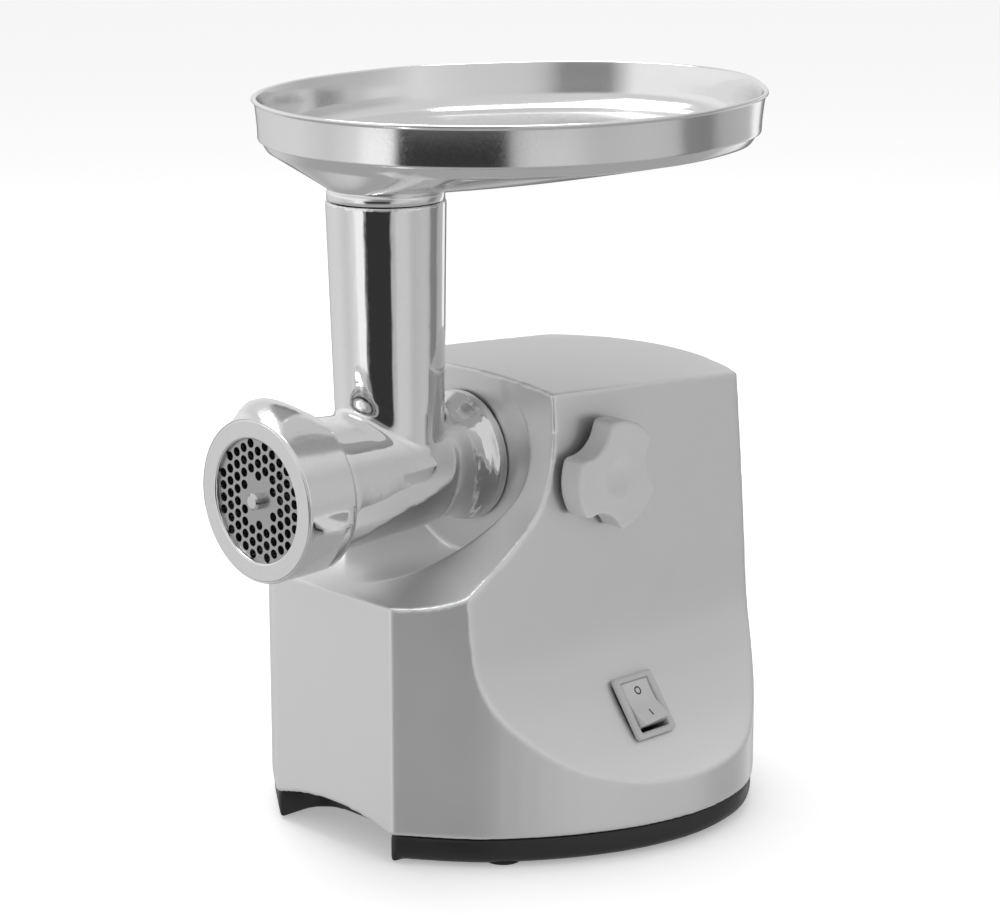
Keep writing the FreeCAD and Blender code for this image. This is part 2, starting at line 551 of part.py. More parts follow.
def tray_points(z, scale=1.0, inset=0.0, toward=0.0):
    """Outline points at height z, shrunk by inset and drawn towards the throat circle."""
    pts = []
    n = len(TRAY_RADII)
    for i in range(n):
        a = 2 * math.pi * i / n
        r = TRAY_RADII[i] * TRAY_SCALE * scale - inset
        u = TRAY_OFF + r * math.cos(a)
        w = r * math.sin(a)
        turn = math.radians(TRAY_TURN)
        px = w * math.cos(turn) - u * math.sin(turn)
        py = TUBE_Y + w * math.sin(turn) + u * math.cos(turn)
        ang = math.atan2(py - TUBE_Y, px)
        tx = (THROAT_R - inset) * math.cos(ang)
        ty = TUBE_Y + (THROAT_R - inset) * math.sin(ang)
        pts.append(V(px + (tx - px) * toward, py + (ty - py) * toward, z))
    return pts


def closed_curve(pts):
    c = Part.BSplineCurve()
    c.interpolate(pts, PeriodicFlag=True)
    return Part.Wire(c.toShape())


THROAT_R = TUBE_BORE_R + 3.2
THROAT_Z = TUBE_TOP + 5.0


def tray_solid(inset, top_extra):
    z_wall = TRAY_TOP - TRAY_WALL_H
    levels = [closed_curve(tray_points(THROAT_Z, 0.95, inset, 1.0)),
              closed_curve(tray_points(z_wall - 5.5, 0.95, inset, 0.0)),
              closed_curve(tray_points(z_wall, 0.985, inset, 0.0)),
              closed_curve(tray_points(TRAY_TOP + top_extra, 1.0, inset, 0.0))]
    return Part.makeLoft(levels, True, True)


tray = tray_solid(0, 0)
tray_in = tray_solid(TRAY_T, 0.01)
tray_in.translate(V(0, 0, TRAY_T))
tray = tray.cut(tray_in)
lip = Part.Face(closed_curve(tray_points(TRAY_TOP - 1.2, 1.0, -1.2)))
lip = lip.extrude(V(0, 0, 1.2)).cut(Part.Face(closed_curve(tray_points(TRAY_TOP - 3, 1.0, TRAY_T))).extrude(V(0, 0, 6)))
tray = tray.fuse(lip)
SPIGOT_OUT = TUBE_BORE_R + 2.2 - FREE
neck = cyl_z(SPIGOT_OUT, TUBE_TOP - TRAY_SEAT, THROAT_Z + 2, 0, TUBE_Y)
neck = neck.fuse(cyl_z(THROAT_R + 1.0, TUBE_TOP + 0.3, THROAT_Z + 0.6, 0, TUBE_Y))
tray = tray.fuse(neck).cut(cyl_z(TUBE_BORE_R, TUBE_TOP - TRAY_SEAT - 1, THROAT_Z + 8, 0, TUBE_Y))
parts["hopper_tray"] = tray.removeSplitter()

# ---------------------------------------------------------------- gearbox
CASE_WALL = 3.0
OUT_CAV = GEAR_OUT_RAD + 1.5 + 1.0
A_CAV = GEAR_A_RAD + 1.0 + 1.2


def case_outline(extra, y0, y1):
    s = cyl_y(OUT_CAV + extra, y0, y1)
    s = s.fuse(cyl_y(A_CAV + extra, y0, y1, GEAR_A_X, GEAR_A_Z))
    return s.fuse(cyl_y(16 + extra, y0, y1, 0, MOTOR_Z))


case = case_outline(CASE_WALL, CASE_Y0, CASE_Y1)
case = case.cut(case_outline(0, CASE_Y0 + 4, CASE_Y1 + 1))


def around(x, z, r, deg):
    return (x + r * math.cos(math.radians(deg)), z + r * math.sin(math.radians(deg)))


LUG_OUT = OUT_CAV + CASE_WALL + 3.5
LUG_A = A_CAV + CASE_WALL + 3.5
LUGS = [around(0, AXIS_Z, LUG_OUT, 140), around(0, AXIS_Z, LUG_OUT, 20), around(GEAR_A_X, GEAR_A_Z, LUG_A, -20),
        around(GEAR_A_X, GEAR_A_Z, LUG_A, -75), around(GEAR_A_X, GEAR_A_Z, LUG_A, 200)]
lugs = []
for lx, lz in LUGS:
    lugs.append(cyl_y(5.5, CASE_Y0 + 20, CASE_Y1, lx, lz))
for s in lugs:
    case = case.fuse(s.cut(case_outline(0.5, 0, 300)))
case = case.removeSplitter()
OUT_SHAFT_R = 10.0
SHAFT_A_R = 5.0
MOTOR_SHAFT_R = 3.5
BUSH_T = 3.0
case = case.fuse(ring_y(21.0, OUT_SHAFT_R + 6.0, CASE_Y0 + 3.9, CASE_Y0 + 8.5))
case = case.cut(cyl_y(16.5, CASE_Y0 - 1, CASE_Y0 + 9))
case = case.cut(cyl_y(SHAFT_A_R + BUSH_T, CASE_Y0 + 1, CASE_Y0 + 5, GEAR_A_X, GEAR_A_Z))
cover = case_outline(CASE_WALL, CASE_Y1 + 0.02, CASE_Y1 + COVER_T)
for lx, lz in LUGS:
    cover = cover.fuse(cyl_y(5.5, CASE_Y1 + 0.02, CASE_Y1 + COVER_T, lx, lz))
cover = cover.cut(cyl_y(SHAFT_A_R + BUSH_T, CASE_Y1 - 1, CASE_Y1 + 5, GEAR_A_X, GEAR_A_Z))
MB_R = 11.0
cover = cover.cut(cyl_y(MB_R + FIT, CASE_Y1 - 1, CASE_Y1 + 5, 0, MOTOR_Z))
gear_screws = []
for lx, lz in LUGS:
    cover = cover.cut(cyl_y(1.9 + FIT, CASE_Y1 - 1, CASE_Y1 + 6, lx, lz))
    case = case.cut(cyl_y(1.9 + FIT, CASE_Y1 - 12, CASE_Y1 + 1, lx, lz))
    s = cyl_y(1.9, CASE_Y1 - 10, CASE_Y1 + COVER_T + 0.5, lx, lz)
    s = s.fuse(cyl_y(3.5, CASE_Y1 + COVER_T + 0.02, CASE_Y1 + COVER_T + 2.4, lx, lz))
    gear_screws.append(s.cut(box(lx - 2.6, lx + 2.6, CASE_Y1 + COVER_T + 1.6, CASE_Y1 + 9, lz - 0.4, lz + 0.4)))
parts["gearbox_case"] = case
parts["gearbox_cover"] = cover
parts["gearbox_screws"] = Part.makeCompound(gear_screws)

# bearing bracket behind the output gear
bracket = case_outline(-0.3, BRACKET_Y0, BRACKET_Y0 + BRACKET_T)
bracket = bracket.cut(cyl_y(OUT_SHAFT_R + BUSH_T, BRACKET_Y0 - 1, BRACKET_Y0 + 5))
bracket = bracket.cut(cyl_y(SHAFT_A_R + 2.0, BRACKET_Y0 - 1, BRACKET_Y0 + 5, GEAR_A_X, GEAR_A_Z))
bracket = bracket.cut(cyl_y(7.5, BRACKET_Y0 - 1, BRACKET_Y0 + 5, 0, MOTOR_Z))
parts["bearing_bracket"] = bracket

# output shaft with its square drive socket
OUT_END = BRACKET_Y0 + BRACKET_T
shaft = cyl_y(13.5, SOCKET_Y0, OUT_GEAR_Y0 - 0.2).fuse(cyl_y(OUT_SHAFT_R, OUT_GEAR_Y0 - 1, OUT_END))
sq = TAIL_SQ / 2 + 0.25
shaft = shaft.cut(box(-sq, sq, SOCKET_Y0 - 1, TAIL_BACK + 0.8, AXIS_Z - sq, AXIS_Z + sq))
KEY = 4.0
key = box(-KEY / 2, KEY / 2, OUT_GEAR_Y0 + 1.2, OUT_GEAR_Y0 + OUT_GEAR_W - 0.5, AXIS_Z + 7.5, AXIS_Z + 12.0)
key_slot = box(-KEY / 2 - FIT, KEY / 2 + FIT, OUT_GEAR_Y0 + 1.1, OUT_GEAR_Y0 + 30, AXIS_Z + 7.4, AXIS_Z + 12.1)
shaft = shaft.cut(key_slot.common(box(-9, 9, 0, OUT_GEAR_Y0 + OUT_GEAR_W - 0.4, 0, 300)))
parts["output_shaft"] = shaft
parts["output_key"] = key
front_bush = ring_y(16.5 - FIT, 13.5 + RUN, CASE_Y0 + 0.2, CASE_Y0 + 8.4)
rear_bush = ring_y(OUT_SHAFT_R + BUSH_T - FIT, OUT_SHAFT_R + RUN, BRACKET_Y0, BRACKET_Y0 + BRACKET_T)
parts["output_bushes"] = Part.makeCompound([front_bush, rear_bush])
to_a = direction(0, AXIS_Z, GEAR_A_X, GEAR_A_Z)
gear_out = gear(MODULE_2, TEETH_OUT, OUT_GEAR_W, OUT_GEAR_Y0, 0, AXIS_Z, to_a + 180.0 / TEETH_OUT, OUT_SHAFT_R + FIT, 0.75)
parts["output_gear"] = gear_out.cut(key_slot)

# intermediate shaft with both wheels
shaft_a = cyl_y(SHAFT_A_R, CASE_Y0 + 1.2, CASE_Y1 + COVER_T - 0.2, GEAR_A_X, GEAR_A_Z)
parts["intermediate_shaft"] = shaft_a
parts["intermediate_pinion"] = gear(MODULE_2, TEETH_P, OUT_GEAR_W + 1, OUT_GEAR_Y0 - 0.5, GEAR_A_X, GEAR_A_Z,
                                    to_a + 180, SHAFT_A_R + FIT, 1.0)
to_m = direction(GEAR_A_X, GEAR_A_Z, 0, MOTOR_Z)
parts["intermediate_gear"] = gear(MODULE_1, TEETH_A, GEAR_A_W, GEAR_A_Y0, GEAR_A_X, GEAR_A_Z,
                                  to_m + 180.0 / TEETH_A, SHAFT_A_R + FIT, 0.75)
bush_a1 = ring_y(SHAFT_A_R + BUSH_T - FIT, SHAFT_A_R + RUN, CASE_Y0 + 1.1, CASE_Y0 + 5, GEAR_A_X, GEAR_A_Z)
bush_a2 = ring_y(SHAFT_A_R + BUSH_T - FIT, SHAFT_A_R + RUN, CASE_Y1 + 0.1, CASE_Y1 + COVER_T, GEAR_A_X, GEAR_A_Z)
parts["intermediate_bushes"] = Part.makeCompound([bush_a1, bush_a2])

# ---------------------------------------------------------------- motor
M_Y0 = CASE_Y1 + COVER_T + 1.0
STACK_Y0 = M_Y0 + 13.0
STACK_LEN = 22.0
STACK_Y1 = STACK_Y0 + STACK_LEN
M_Y1 = 263.0
ARM_R = 22.0
STUB_R = 2.0
m_shaft = cyl_y(MOTOR_SHAFT_R, GEAR_A_Y0 + GEAR_A_W + 0.5, M_Y1 - 0.5, 0, MOTOR_Z)
m_shaft = m_shaft.fuse(cyl_y(STUB_R, GEAR_A_Y0 - 0.5, GEAR_A_Y0 + GEAR_A_W + 1, 0, MOTOR_Z))
parts["motor_shaft"] = m_shaft
parts["motor_pinion"] = gear(MODULE_1, TEETH_M, GEAR_A_W, GEAR_A_Y0, 0, MOTOR_Z, to_m + 180, STUB_R + FIT, 0.9)

# stator: laminated ring with two poles, and a coil round each pole
stack = ring_y(MOTOR_R, 30.0, STACK_Y0, STACK_Y1, 0, MOTOR_Z)
POLE_FACE_R = ARM_R + 0.8
for side in (-1, 1):
    pole = box(-9, 9, STACK_Y0, STACK_Y1, MOTOR_Z + side * 26 - 6, MOTOR_Z + side * 26 + 6)
    shoe = ring_y(POLE_FACE_R + 3.5, POLE_FACE_R, STACK_Y0, STACK_Y1, 0, MOTOR_Z)
    low = MOTOR_Z if side > 0 else MOTOR_Z - 60
    shoe = shoe.common(box(-19, 19, STACK_Y0, STACK_Y1, low, low + 60))
    stack = stack.fuse(pole.cut(cyl_y(POLE_FACE_R, STACK_Y0, STACK_Y1, 0, MOTOR_Z))).fuse(shoe)
parts["stator_core"] = stack.removeSplitter()
coils = []
for side in (-1, 1):
    zc = MOTOR_Z + side * 28.0
    loop = box(-16, 16, STACK_Y0 - 6, STACK_Y1 + 6, zc - 1.3, zc + 1.3)
    loop = loop.cut(box(-9.3, 9.3, STACK_Y0 - 0.5, STACK_Y1 + 0.5, zc - 3, zc + 3))
    coils.append(loop.cut(cyl_y(POLE_FACE_R + 3.6, 0, 300, 0, MOTOR_Z)).common(cyl_y(29.8, 0, 300, 0, MOTOR_Z)))
parts["field_coils"] = Part.makeCompound(coils)

# armature: slotted core, windings in the slots, commutator, fan
arm = cyl_y(ARM_R, STACK_Y0, STACK_Y1, 0, MOTOR_Z).cut(cyl_y(MOTOR_SHAFT_R + FIT, STACK_Y0 - 1, STACK_Y1 + 1, 0, MOTOR_Z))
slot = box(-1.6, 1.6, STACK_Y0 - 1, STACK_Y1 + 1, MOTOR_Z + 11, MOTOR_Z + 19.5)
mouth = box(-0.8, 0.8, STACK_Y0 - 1, STACK_Y1 + 1, MOTOR_Z + 19, MOTOR_Z + 25)
for piece in polar_y(slot.fuse(mouth), 12, 0, MOTOR_Z):
    arm = arm.cut(piece)
parts["armature_core"] = arm
wind = box(-1.5, 1.5, STACK_Y0 - 4, STACK_Y1 + 4, MOTOR_Z + 11.2, MOTOR_Z + 19.2)
winds = polar_y(wind, 12, 0, MOTOR_Z)
ends = [ring_y(19.2, 11.2, STACK_Y0 - 7, STACK_Y0 - 3.9, 0, MOTOR_Z), ring_y(19.2, 11.2, STACK_Y1 + 3.9, STACK_Y1 + 6.5, 0, MOTOR_Z)]
coil = ends[0].fuse(winds + [ends[1]])
parts["armature_windings"] = coil
COMM_R = 9.0
COMM_Y0 = STACK_Y1 + 7.5
COMM_Y1 = COMM_Y0 + 7.5
comm = ring_y(COMM_R, MOTOR_SHAFT_R + FIT, COMM_Y0, COMM_Y1, 0, MOTOR_Z)
cut = box(-0.25, 0.25, COMM_Y0 + 1.5, COMM_Y1 + 1, MOTOR_Z + COMM_R - 1, MOTOR_Z + COMM_R + 1)
for piece in polar_y(cut, 24, 0, MOTOR_Z):
    comm = comm.cut(piece)
parts["commutator"] = comm
fan = ring_y(8.0, MOTOR_SHAFT_R + FIT, M_Y0 + 0.6, M_Y0 + 5.0, 0, MOTOR_Z)
fan = fan.fuse(ring_y(26.0, 7.5, M_Y0 + 0.6, M_Y0 + 1.6, 0, MOTOR_Z))
blade = box(-0.6, 0.6, M_Y0 + 1.5, M_Y0 + 5.0, MOTOR_Z + 10, MOTOR_Z + 25.8)
for piece in polar_y(blade, 11, 0, MOTOR_Z):
    fan = fan.fuse(piece)
parts["cooling_fan"] = fan.removeSplitter()

# brushes at both sides of the commutator, held in the rear bracket
BRUSH_Y = (COMM_Y0 + COMM_Y1) / 2 + 0.5
brushes = []
holders = []
springs = []
for side in (-1, 1):
    x0 = COMM_R + 0.1
    b = box(min(side * x0, side * (x0 + 9)), max(side * x0, side * (x0 + 9)), BRUSH_Y - 2.5, BRUSH_Y + 2.5,
            MOTOR_Z - 3, MOTOR_Z + 3)
    brushes.append(b)
    hx = sorted((side * 12.0, side * 29.0))
    h_out = box(hx[0], hx[1], BRUSH_Y - 3.6, BRUSH_Y + 3.6, MOTOR_Z - 4.2, MOTOR_Z + 4.2)
    holders.append(h_out.cut(box(hx[0] - 1, hx[1] + 1, BRUSH_Y - 2.6, BRUSH_Y + 2.6, MOTOR_Z - 3.1, MOTOR_Z + 3.1)))
    coil_line = Part.makeHelix(1.6, 8.0, 1.7)
    sec = Part.Wire(Part.makeCircle(0.3, V(1.7, 0, 0), V(0, 1, 0.15)))
    spr = Part.Wire(coil_line).makePipeShell([sec], True, True)
    spr.rotate(V(0, 0, 0), Y, 90 * side)
    spr.translate(V(side * (x0 + 9.5), BRUSH_Y, MOTOR_Z))
    springs.append(spr)
parts["carbon_brushes"] = Part.makeCompound(brushes)
parts["brush_holders"] = Part.makeCompound(holders)
parts["brush_springs"] = Part.makeCompound(springs)

# bearings and rear bracket
BRG_W = 5.0
front_brg = ring_y(MB_R - FIT, MOTOR_SHAFT_R + RUN, CASE_Y1 - 1.0, CASE_Y1 + 3.4, 0, MOTOR_Z)
rear_brg = ring_y(8.0 - FIT, MOTOR_SHAFT_R + RUN, M_Y1 - 4.4, M_Y1 - 0.8, 0, MOTOR_Z)
parts["motor_bearings"] = Part.makeCompound([front_brg, rear_brg])
arm_box = box(-37, 37, STACK_Y1 + 8.5, M_Y1 - 0.6, MOTOR_Z - 9, MOTOR_Z + 9)
arm_box = arm_box.common(cyl_y(37, 0, 400, 0, MOTOR_Z))
arm_box = arm_box.cut(box(-33, 33, 0, M_Y1 - 4.6, MOTOR_Z - 20, MOTOR_Z + 20))
arm_box = arm_box.fuse(cyl_y(10.5, M_Y1 - 4.7, M_Y1 - 0.6, 0, MOTOR_Z))
foot_ring = ring_y(37.0, 31.0, STACK_Y1 + 0.02, STACK_Y1 + 9, 0, MOTOR_Z)
foot_ring = foot_ring.common(box(-40, 40, 0, 400, MOTOR_Z - 15, MOTOR_Z + 15))
rear = arm_box.fuse(foot_ring)
rear = rear.cut(cyl_y(8.0, M_Y1 - 4.5, M_Y1, 0, MOTOR_Z)).cut(cyl_y(4.5, M_Y1 - 6, M_Y1, 0, MOTOR_Z))
m_bolts = []
for side in (-1, 1):
    bx = side * 35.0
    rear = rear.cut(cyl_y(1.6 + FIT, STACK_Y1 - 1, M_Y1, bx, MOTOR_Z))
    bolt = cyl_y(1.6, CASE_Y1 + COVER_T + 0.1, STACK_Y1 + 11, bx, MOTOR_Z)
    m_bolts.append(bolt)
stack = parts["stator_core"]
for side in (-1, 1):
    stack = stack.cut(cyl_y(1.6 + FIT, STACK_Y0 - 1, STACK_Y1 + 1, side * 35.0, MOTOR_Z))
parts["stator_core"] = stack
parts["rear_bracket"] = rear
parts["motor_bolts"] = Part.makeCompound(m_bolts)

# cradle under the motor, on rubber dampers, standing on the base plate
CRADLE_Z = BASE_Z + BASE_T + 6.0
cradle = box(-34, 34, STACK_Y0 + 4, STACK_Y1 - 4, CRADLE_Z, CRADLE_Z + 3)
for side in (-1, 1):
    web = box(min(side * 24, side * 30), max(side * 24, side * 30), STACK_Y0 + 4, STACK_Y1 - 4, CRADLE_Z, MOTOR_Z)
    cradle = cradle.fuse(web)
cradle = cradle.cut(cyl_y(MOTOR_R + 0.02, 0, 400, 0, MOTOR_Z))
dampers = []
for side in (-1, 1):
    dampers.append(cyl_z(6, BASE_Z + BASE_T + 0.02, CRADLE_Z - 0.02, side * 27, (STACK_Y0 + STACK_Y1) / 2))
parts["motor_cradle"] = cradle.removeSplitter()
parts["motor_dampers"] = Part.makeCompound(dampers)

# noise filter board and thermal cut-out
board = box(-50, -12, 80, 120, BASE_Z + BASE_T + 6, BASE_Z + BASE_T + 7.6)
legs = [cyl_z(2.5, BASE_Z + BASE_T + 0.02, BASE_Z + BASE_T + 5.98, px, py) for px in (-46, -16) for py in (84, 116)]
parts["filter_board"] = board
parts["board_standoffs"] = Part.makeCompound(legs)
cap = box(-44, -26, 88, 96, BASE_Z + BASE_T + 7.62, BASE_Z + BASE_T + 20)
choke = ring_y(7, 3, 104, 111, -34, BASE_Z + BASE_T + 14.7)
parts["filter_capacitor"] = cap
parts["filter_choke"] = choke
parts["thermal_cutout"] = box(-7, 7, STACK_Y0 + 8, STACK_Y0 + 22, MOTOR_Z + MOTOR_R + 0.1, MOTOR_Z + MOTOR_R + 4.5)

# ---------------------------------------------------------------- place and export
low = V(1e9, 1e9, 1e9)
high = V(-1e9, -1e9, -1e9)
for shape in parts.values():
    bb = shape.optimalBoundingBox(True, False)
    low = V(min(low.x, bb.XMin), min(low.y, bb.YMin), min(low.z, bb.ZMin))
    high = V(max(high.x, bb.XMax), max(high.y, bb.YMax), max(high.z, bb.ZMax))
shift = V(-(low.x + high.x) / 2, -(low.y + high.y) / 2, -low.z)
os.makedirs("parts", exist_ok=True)
for name, shape in parts.items():
    shape.translate(shift)
    shape.exportStep("parts/" + name + ".step")
print("shift", shift, "size", high - low)
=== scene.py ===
import math

import bmesh
import bpy
import numpy as np
from mathutils import Matrix, Vector


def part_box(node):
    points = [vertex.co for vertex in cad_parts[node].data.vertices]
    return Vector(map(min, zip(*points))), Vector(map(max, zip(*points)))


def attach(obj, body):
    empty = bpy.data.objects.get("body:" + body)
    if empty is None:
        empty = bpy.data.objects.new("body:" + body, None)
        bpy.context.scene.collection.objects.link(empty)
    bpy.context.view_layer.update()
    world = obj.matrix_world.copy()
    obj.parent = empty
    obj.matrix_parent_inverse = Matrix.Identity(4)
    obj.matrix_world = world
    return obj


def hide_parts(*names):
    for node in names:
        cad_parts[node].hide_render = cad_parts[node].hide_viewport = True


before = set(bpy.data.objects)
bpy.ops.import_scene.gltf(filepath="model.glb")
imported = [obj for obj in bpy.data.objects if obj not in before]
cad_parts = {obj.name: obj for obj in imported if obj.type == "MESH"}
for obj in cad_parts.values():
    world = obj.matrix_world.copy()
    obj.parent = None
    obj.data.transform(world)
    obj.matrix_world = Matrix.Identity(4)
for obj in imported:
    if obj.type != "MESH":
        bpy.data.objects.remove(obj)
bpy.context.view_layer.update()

# ------------------------------------------------------------------ camera
# A long lens looks down on the front right corner, from a little above the hopper.
# Positions count from the barrel's middle plane, the nut's front face and the floor.
NUT_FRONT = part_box("ring_nut")[0].y
PLATE_LOW, PLATE_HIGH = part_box("mincing_plate")
BARREL_X = (PLATE_LOW.x + PLATE_HIGH.x) / 2


def spot(x, y, z):
    """A place given in millimetres from the barrel's middle, the nut's front face and the floor."""
    return Vector((BARREL_X + x / 1000, NUT_FRONT + y / 1000, z / 1000))


CAMERA_TURN = math.radians(45.75)
CAMERA_RISE = math.radians(14.06)
CAMERA_PLACE = (955.96, -779.98, 499.9)
LENS_LENGTH = 103.45
SENSOR_WIDTH = 36.0
SIGHT_LIMIT = 20.0
camera_data = bpy.data.cameras.new("camera")
camera_data.lens = LENS_LENGTH
camera_data.sensor_width = SENSOR_WIDTH
camera_data.clip_end = SIGHT_LIMIT
camera = bpy.data.objects.new("camera", camera_data)
bpy.context.scene.collection.objects.link(camera)
camera.location = spot(*CAMERA_PLACE)
sight = Vector((-math.sin(CAMERA_TURN) * math.cos(CAMERA_RISE),
                math.cos(CAMERA_TURN) * math.cos(CAMERA_RISE),
                -math.sin(CAMERA_RISE)))
camera.rotation_mode = "QUATERNION"
camera.rotation_quaternion = sight.to_track_quat("-Z", "Y")
bpy.context.scene.camera = camera
bpy.context.scene.view_settings.view_transform = "Standard"

# ------------------------------------------------------------------ floor and studio light
# A pale matt table top, under a ring of soft panels with a dark gap between two of them.
# The polished parts show the panels as light and dark bands.


def new_material(name):
    """An empty node material and its node tree."""
    material = bpy.data.materials.new(name)
    material.use_nodes = True
    tree = material.node_tree
    tree.nodes.clear()
    return material, tree


def feed_sockets(tree, made, sockets):
    """Sets a node's inputs, named or numbered as n0, n1 and so on, to a value or to another node's output."""
    for key, value in sockets.items():
        name = key.replace("_", " ")
        numbered = name[0] == "n" and name[1:].isdigit()
        target = made.inputs[int(name[1:])] if numbered else made.inputs[name]
        if isinstance(value, bpy.types.NodeSocket):
            tree.links.new(value, target)
        else:
            target.default_value = value


def add_node(tree, kind, settings=None, **sockets):
    """A node with some settings, and its input sockets set to a value or fed by another socket."""
    made = tree.nodes.new(kind)
    for key, value in (settings or {}).items():
        setattr(made, key, value)
    feed_sockets(tree, made, sockets)
    return made


def stand_up(name, form):
    """Turns a finished form into an object of that name."""
    mesh = bpy.data.meshes.new(name)
    form.to_mesh(mesh)
    form.free()
    piece = bpy.data.objects.new(name, mesh)
    bpy.context.scene.collection.objects.link(piece)
    return piece


FLOOR_REACH = 4.0
FLOOR_DROP = 0.0002
TABLE_TINT = (0.86, 0.86, 0.86, 1)
TABLE_GLOW = 0.34
floor_form = bmesh.new()
bmesh.ops.create_grid(floor_form, x_segments=8, y_segments=8, size=FLOOR_REACH)
floor = stand_up("floor", floor_form)
floor.location.z = -FLOOR_DROP
floor.visible_glossy = False
floor_material, tree = new_material("pale_table_top")
matt = add_node(tree, "ShaderNodeBsdfDiffuse", Color=TABLE_TINT)
glow = add_node(tree, "ShaderNodeEmission", Color=(1, 1, 1, 1), Strength=TABLE_GLOW)
both = add_node(tree, "ShaderNodeAddShader", n0=matt.outputs[0], n1=glow.outputs[0])
add_node(tree, "ShaderNodeOutputMaterial", Surface=both.outputs[0])
floor.data.materials.append(floor_material)

world = bpy.data.worlds.new("studio")
bpy.context.scene.world = world
world.use_nodes = True
tree = world.node_tree
tree.nodes.clear()
to_camera = (math.sin(CAMERA_TURN), -math.cos(CAMERA_TURN), 0)
to_right = (math.cos(CAMERA_TURN), math.sin(CAMERA_TURN), 0)
where = add_node(tree, "ShaderNodeTexCoord").outputs["Generated"]
ahead = add_node(tree, "ShaderNodeVectorMath", {"operation": "DOT_PRODUCT"}, n0=where, n1=to_camera)
aside = add_node(tree, "ShaderNodeVectorMath", {"operation": "DOT_PRODUCT"}, n0=where, n1=to_right)
round_angle = add_node(tree, "ShaderNodeMath", {"operation": "ARCTAN2"}, n0=aside.outputs["Value"],
                       n1=ahead.outputs["Value"])
turn_part = add_node(tree, "ShaderNodeMapRange", {}, Value=round_angle.outputs[0],
                     From_Min=-math.pi, From_Max=math.pi, To_Min=0.0, To_Max=1.0)
# angle round the object in degrees, right of the viewer being positive, and how bright the wall is there
LOW_WALL = [(-180, 0.20), (-168, 0.20), (-160, 0.62), (-136, 0.70), (-110, 0.72), (-84, 0.62),
            (-66, 0.74), (-58, 0.98), (-43, 0.98), (-39, 0.035), (9, 0.035), (13, 0.46), (22, 0.62),
            (40, 0.62), (56, 0.50), (80, 0.54), (92, 0.50), (97, 0.24), (113, 0.22), (121, 0.42),
            (138, 0.50), (143, 1.0), (152, 1.0), (158, 0.24), (180, 0.20)]
HIGH_WALL = [(-180, 0.80), (-150, 0.85), (-110, 0.90), (-64, 0.90), (-40, 0.90), (-20, 0.26), (12, 0.26),
             (24, 0.60), (60, 0.75), (92, 0.50), (120, 0.45), (150, 0.60), (180, 0.80)]
BRIGHTEST = 1.3


def wall_light(stops):
    """A colour ramp round the object with the wall's brightness at each angle."""
    ramp = add_node(tree, "ShaderNodeValToRGB", {}, Fac=turn_part.outputs[0])
    bands = ramp.color_ramp
    bands.elements[0].position = 0.0
    bands.elements[1].position = 1.0
    for degrees, light in stops:
        place = (degrees + 180) / 360
        if place == 0:
            stop = bands.elements[0]
        elif place == 1:
            stop = bands.elements[-1]
        else:
            stop = bands.elements.new(place)
        stop.color = (light / BRIGHTEST, light / BRIGHTEST, light / BRIGHTEST, 1)
    return ramp.outputs[0]


height = add_node(tree, "ShaderNodeSeparateXYZ", {}, Vector=where).outputs["Z"]


def by_height(low, high, below, above):
    """Blends from one light to another between two heights on the studio's dome."""
    part = add_node(tree, "ShaderNodeMapRange", {"interpolation_type": "SMOOTHSTEP"}, Value=height,
                    From_Min=low, From_Max=high, To_Min=0.0, To_Max=1.0)
    mixed = add_node(tree, "ShaderNodeMix", {"data_type": "RGBA"}, n0=part.outputs[0], n6=below, n7=above)
    return mixed.outputs[2]


OVERHEAD = (0.52, 0.52, 0.52, 1)
TABLE_SIDE = (0.30, 0.30, 0.30, 1)
light_mix = by_height(-0.10, 0.06, wall_light(LOW_WALL), wall_light(HIGH_WALL))
light_mix = by_height(0.34, 0.66, light_mix, OVERHEAD)
light_mix = by_height(-0.60, -0.30, TABLE_SIDE, light_mix)
seen = add_node(tree, "ShaderNodeLightPath")
room_light = add_node(tree, "ShaderNodeBackground", Color=light_mix, Strength=BRIGHTEST)
backdrop = add_node(tree, "ShaderNodeBackground", Color=(1, 1, 1, 1), Strength=1.0)
choose = add_node(tree, "ShaderNodeMixShader", n0=seen.outputs["Is Camera Ray"],
                  n1=room_light.outputs[0], n2=backdrop.outputs[0])
add_node(tree, "ShaderNodeOutputWorld", Surface=choose.outputs[0])

SOFTBOX_LONG = 1.2
SOFTBOX_WIDE = 0.9
SOFTBOX_POWER = 14.0
SOFTBOX_PLACE = (-350, 250, 1500)
LIT_MIDDLE = (0, 120, 150)
key_light = bpy.data.lights.new("top_softbox", "AREA")
key_light.shape = "RECTANGLE"
key_light.size = SOFTBOX_LONG
key_light.size_y = SOFTBOX_WIDE
key_light.energy = SOFTBOX_POWER
key_lamp = bpy.data.objects.new("top_softbox", key_light)
bpy.context.scene.collection.objects.link(key_lamp)
key_lamp.location = spot(*SOFTBOX_PLACE)
key_lamp.rotation_mode = "QUATERNION"
key_lamp.rotation_quaternion = (spot(*LIT_MIDDLE) - key_lamp.location).to_track_quat("-Z", "Y")

# ------------------------------------------------------------------ base plinth
# Black moulded tray that the metal body stands on, with a hand recess under the chin.
# It is held to the body by four screws through the base plate.


def begin_group(name, inputs, outputs):
    """An empty shader node group with its sockets, and its input and output nodes."""
    group = bpy.data.node_groups.new(name, "ShaderNodeTree")
    for label, kind, value in inputs:
        socket = group.interface.new_socket(name=label, in_out="INPUT", socket_type="NodeSocket" + kind)
        if value is not None:
            socket.default_value = value
    for label, kind in outputs:
        group.interface.new_socket(name=label, in_out="OUTPUT", socket_type="NodeSocket" + kind)
    return group, group.nodes.new("NodeGroupInput"), group.nodes.new("NodeGroupOutput")


def use_group(tree, group, **sockets):
    """Places a node group in a material with its own values."""
    made = tree.nodes.new("ShaderNodeGroup")
    made.node_tree = group
    feed_sockets(tree, made, sockets)
    return made


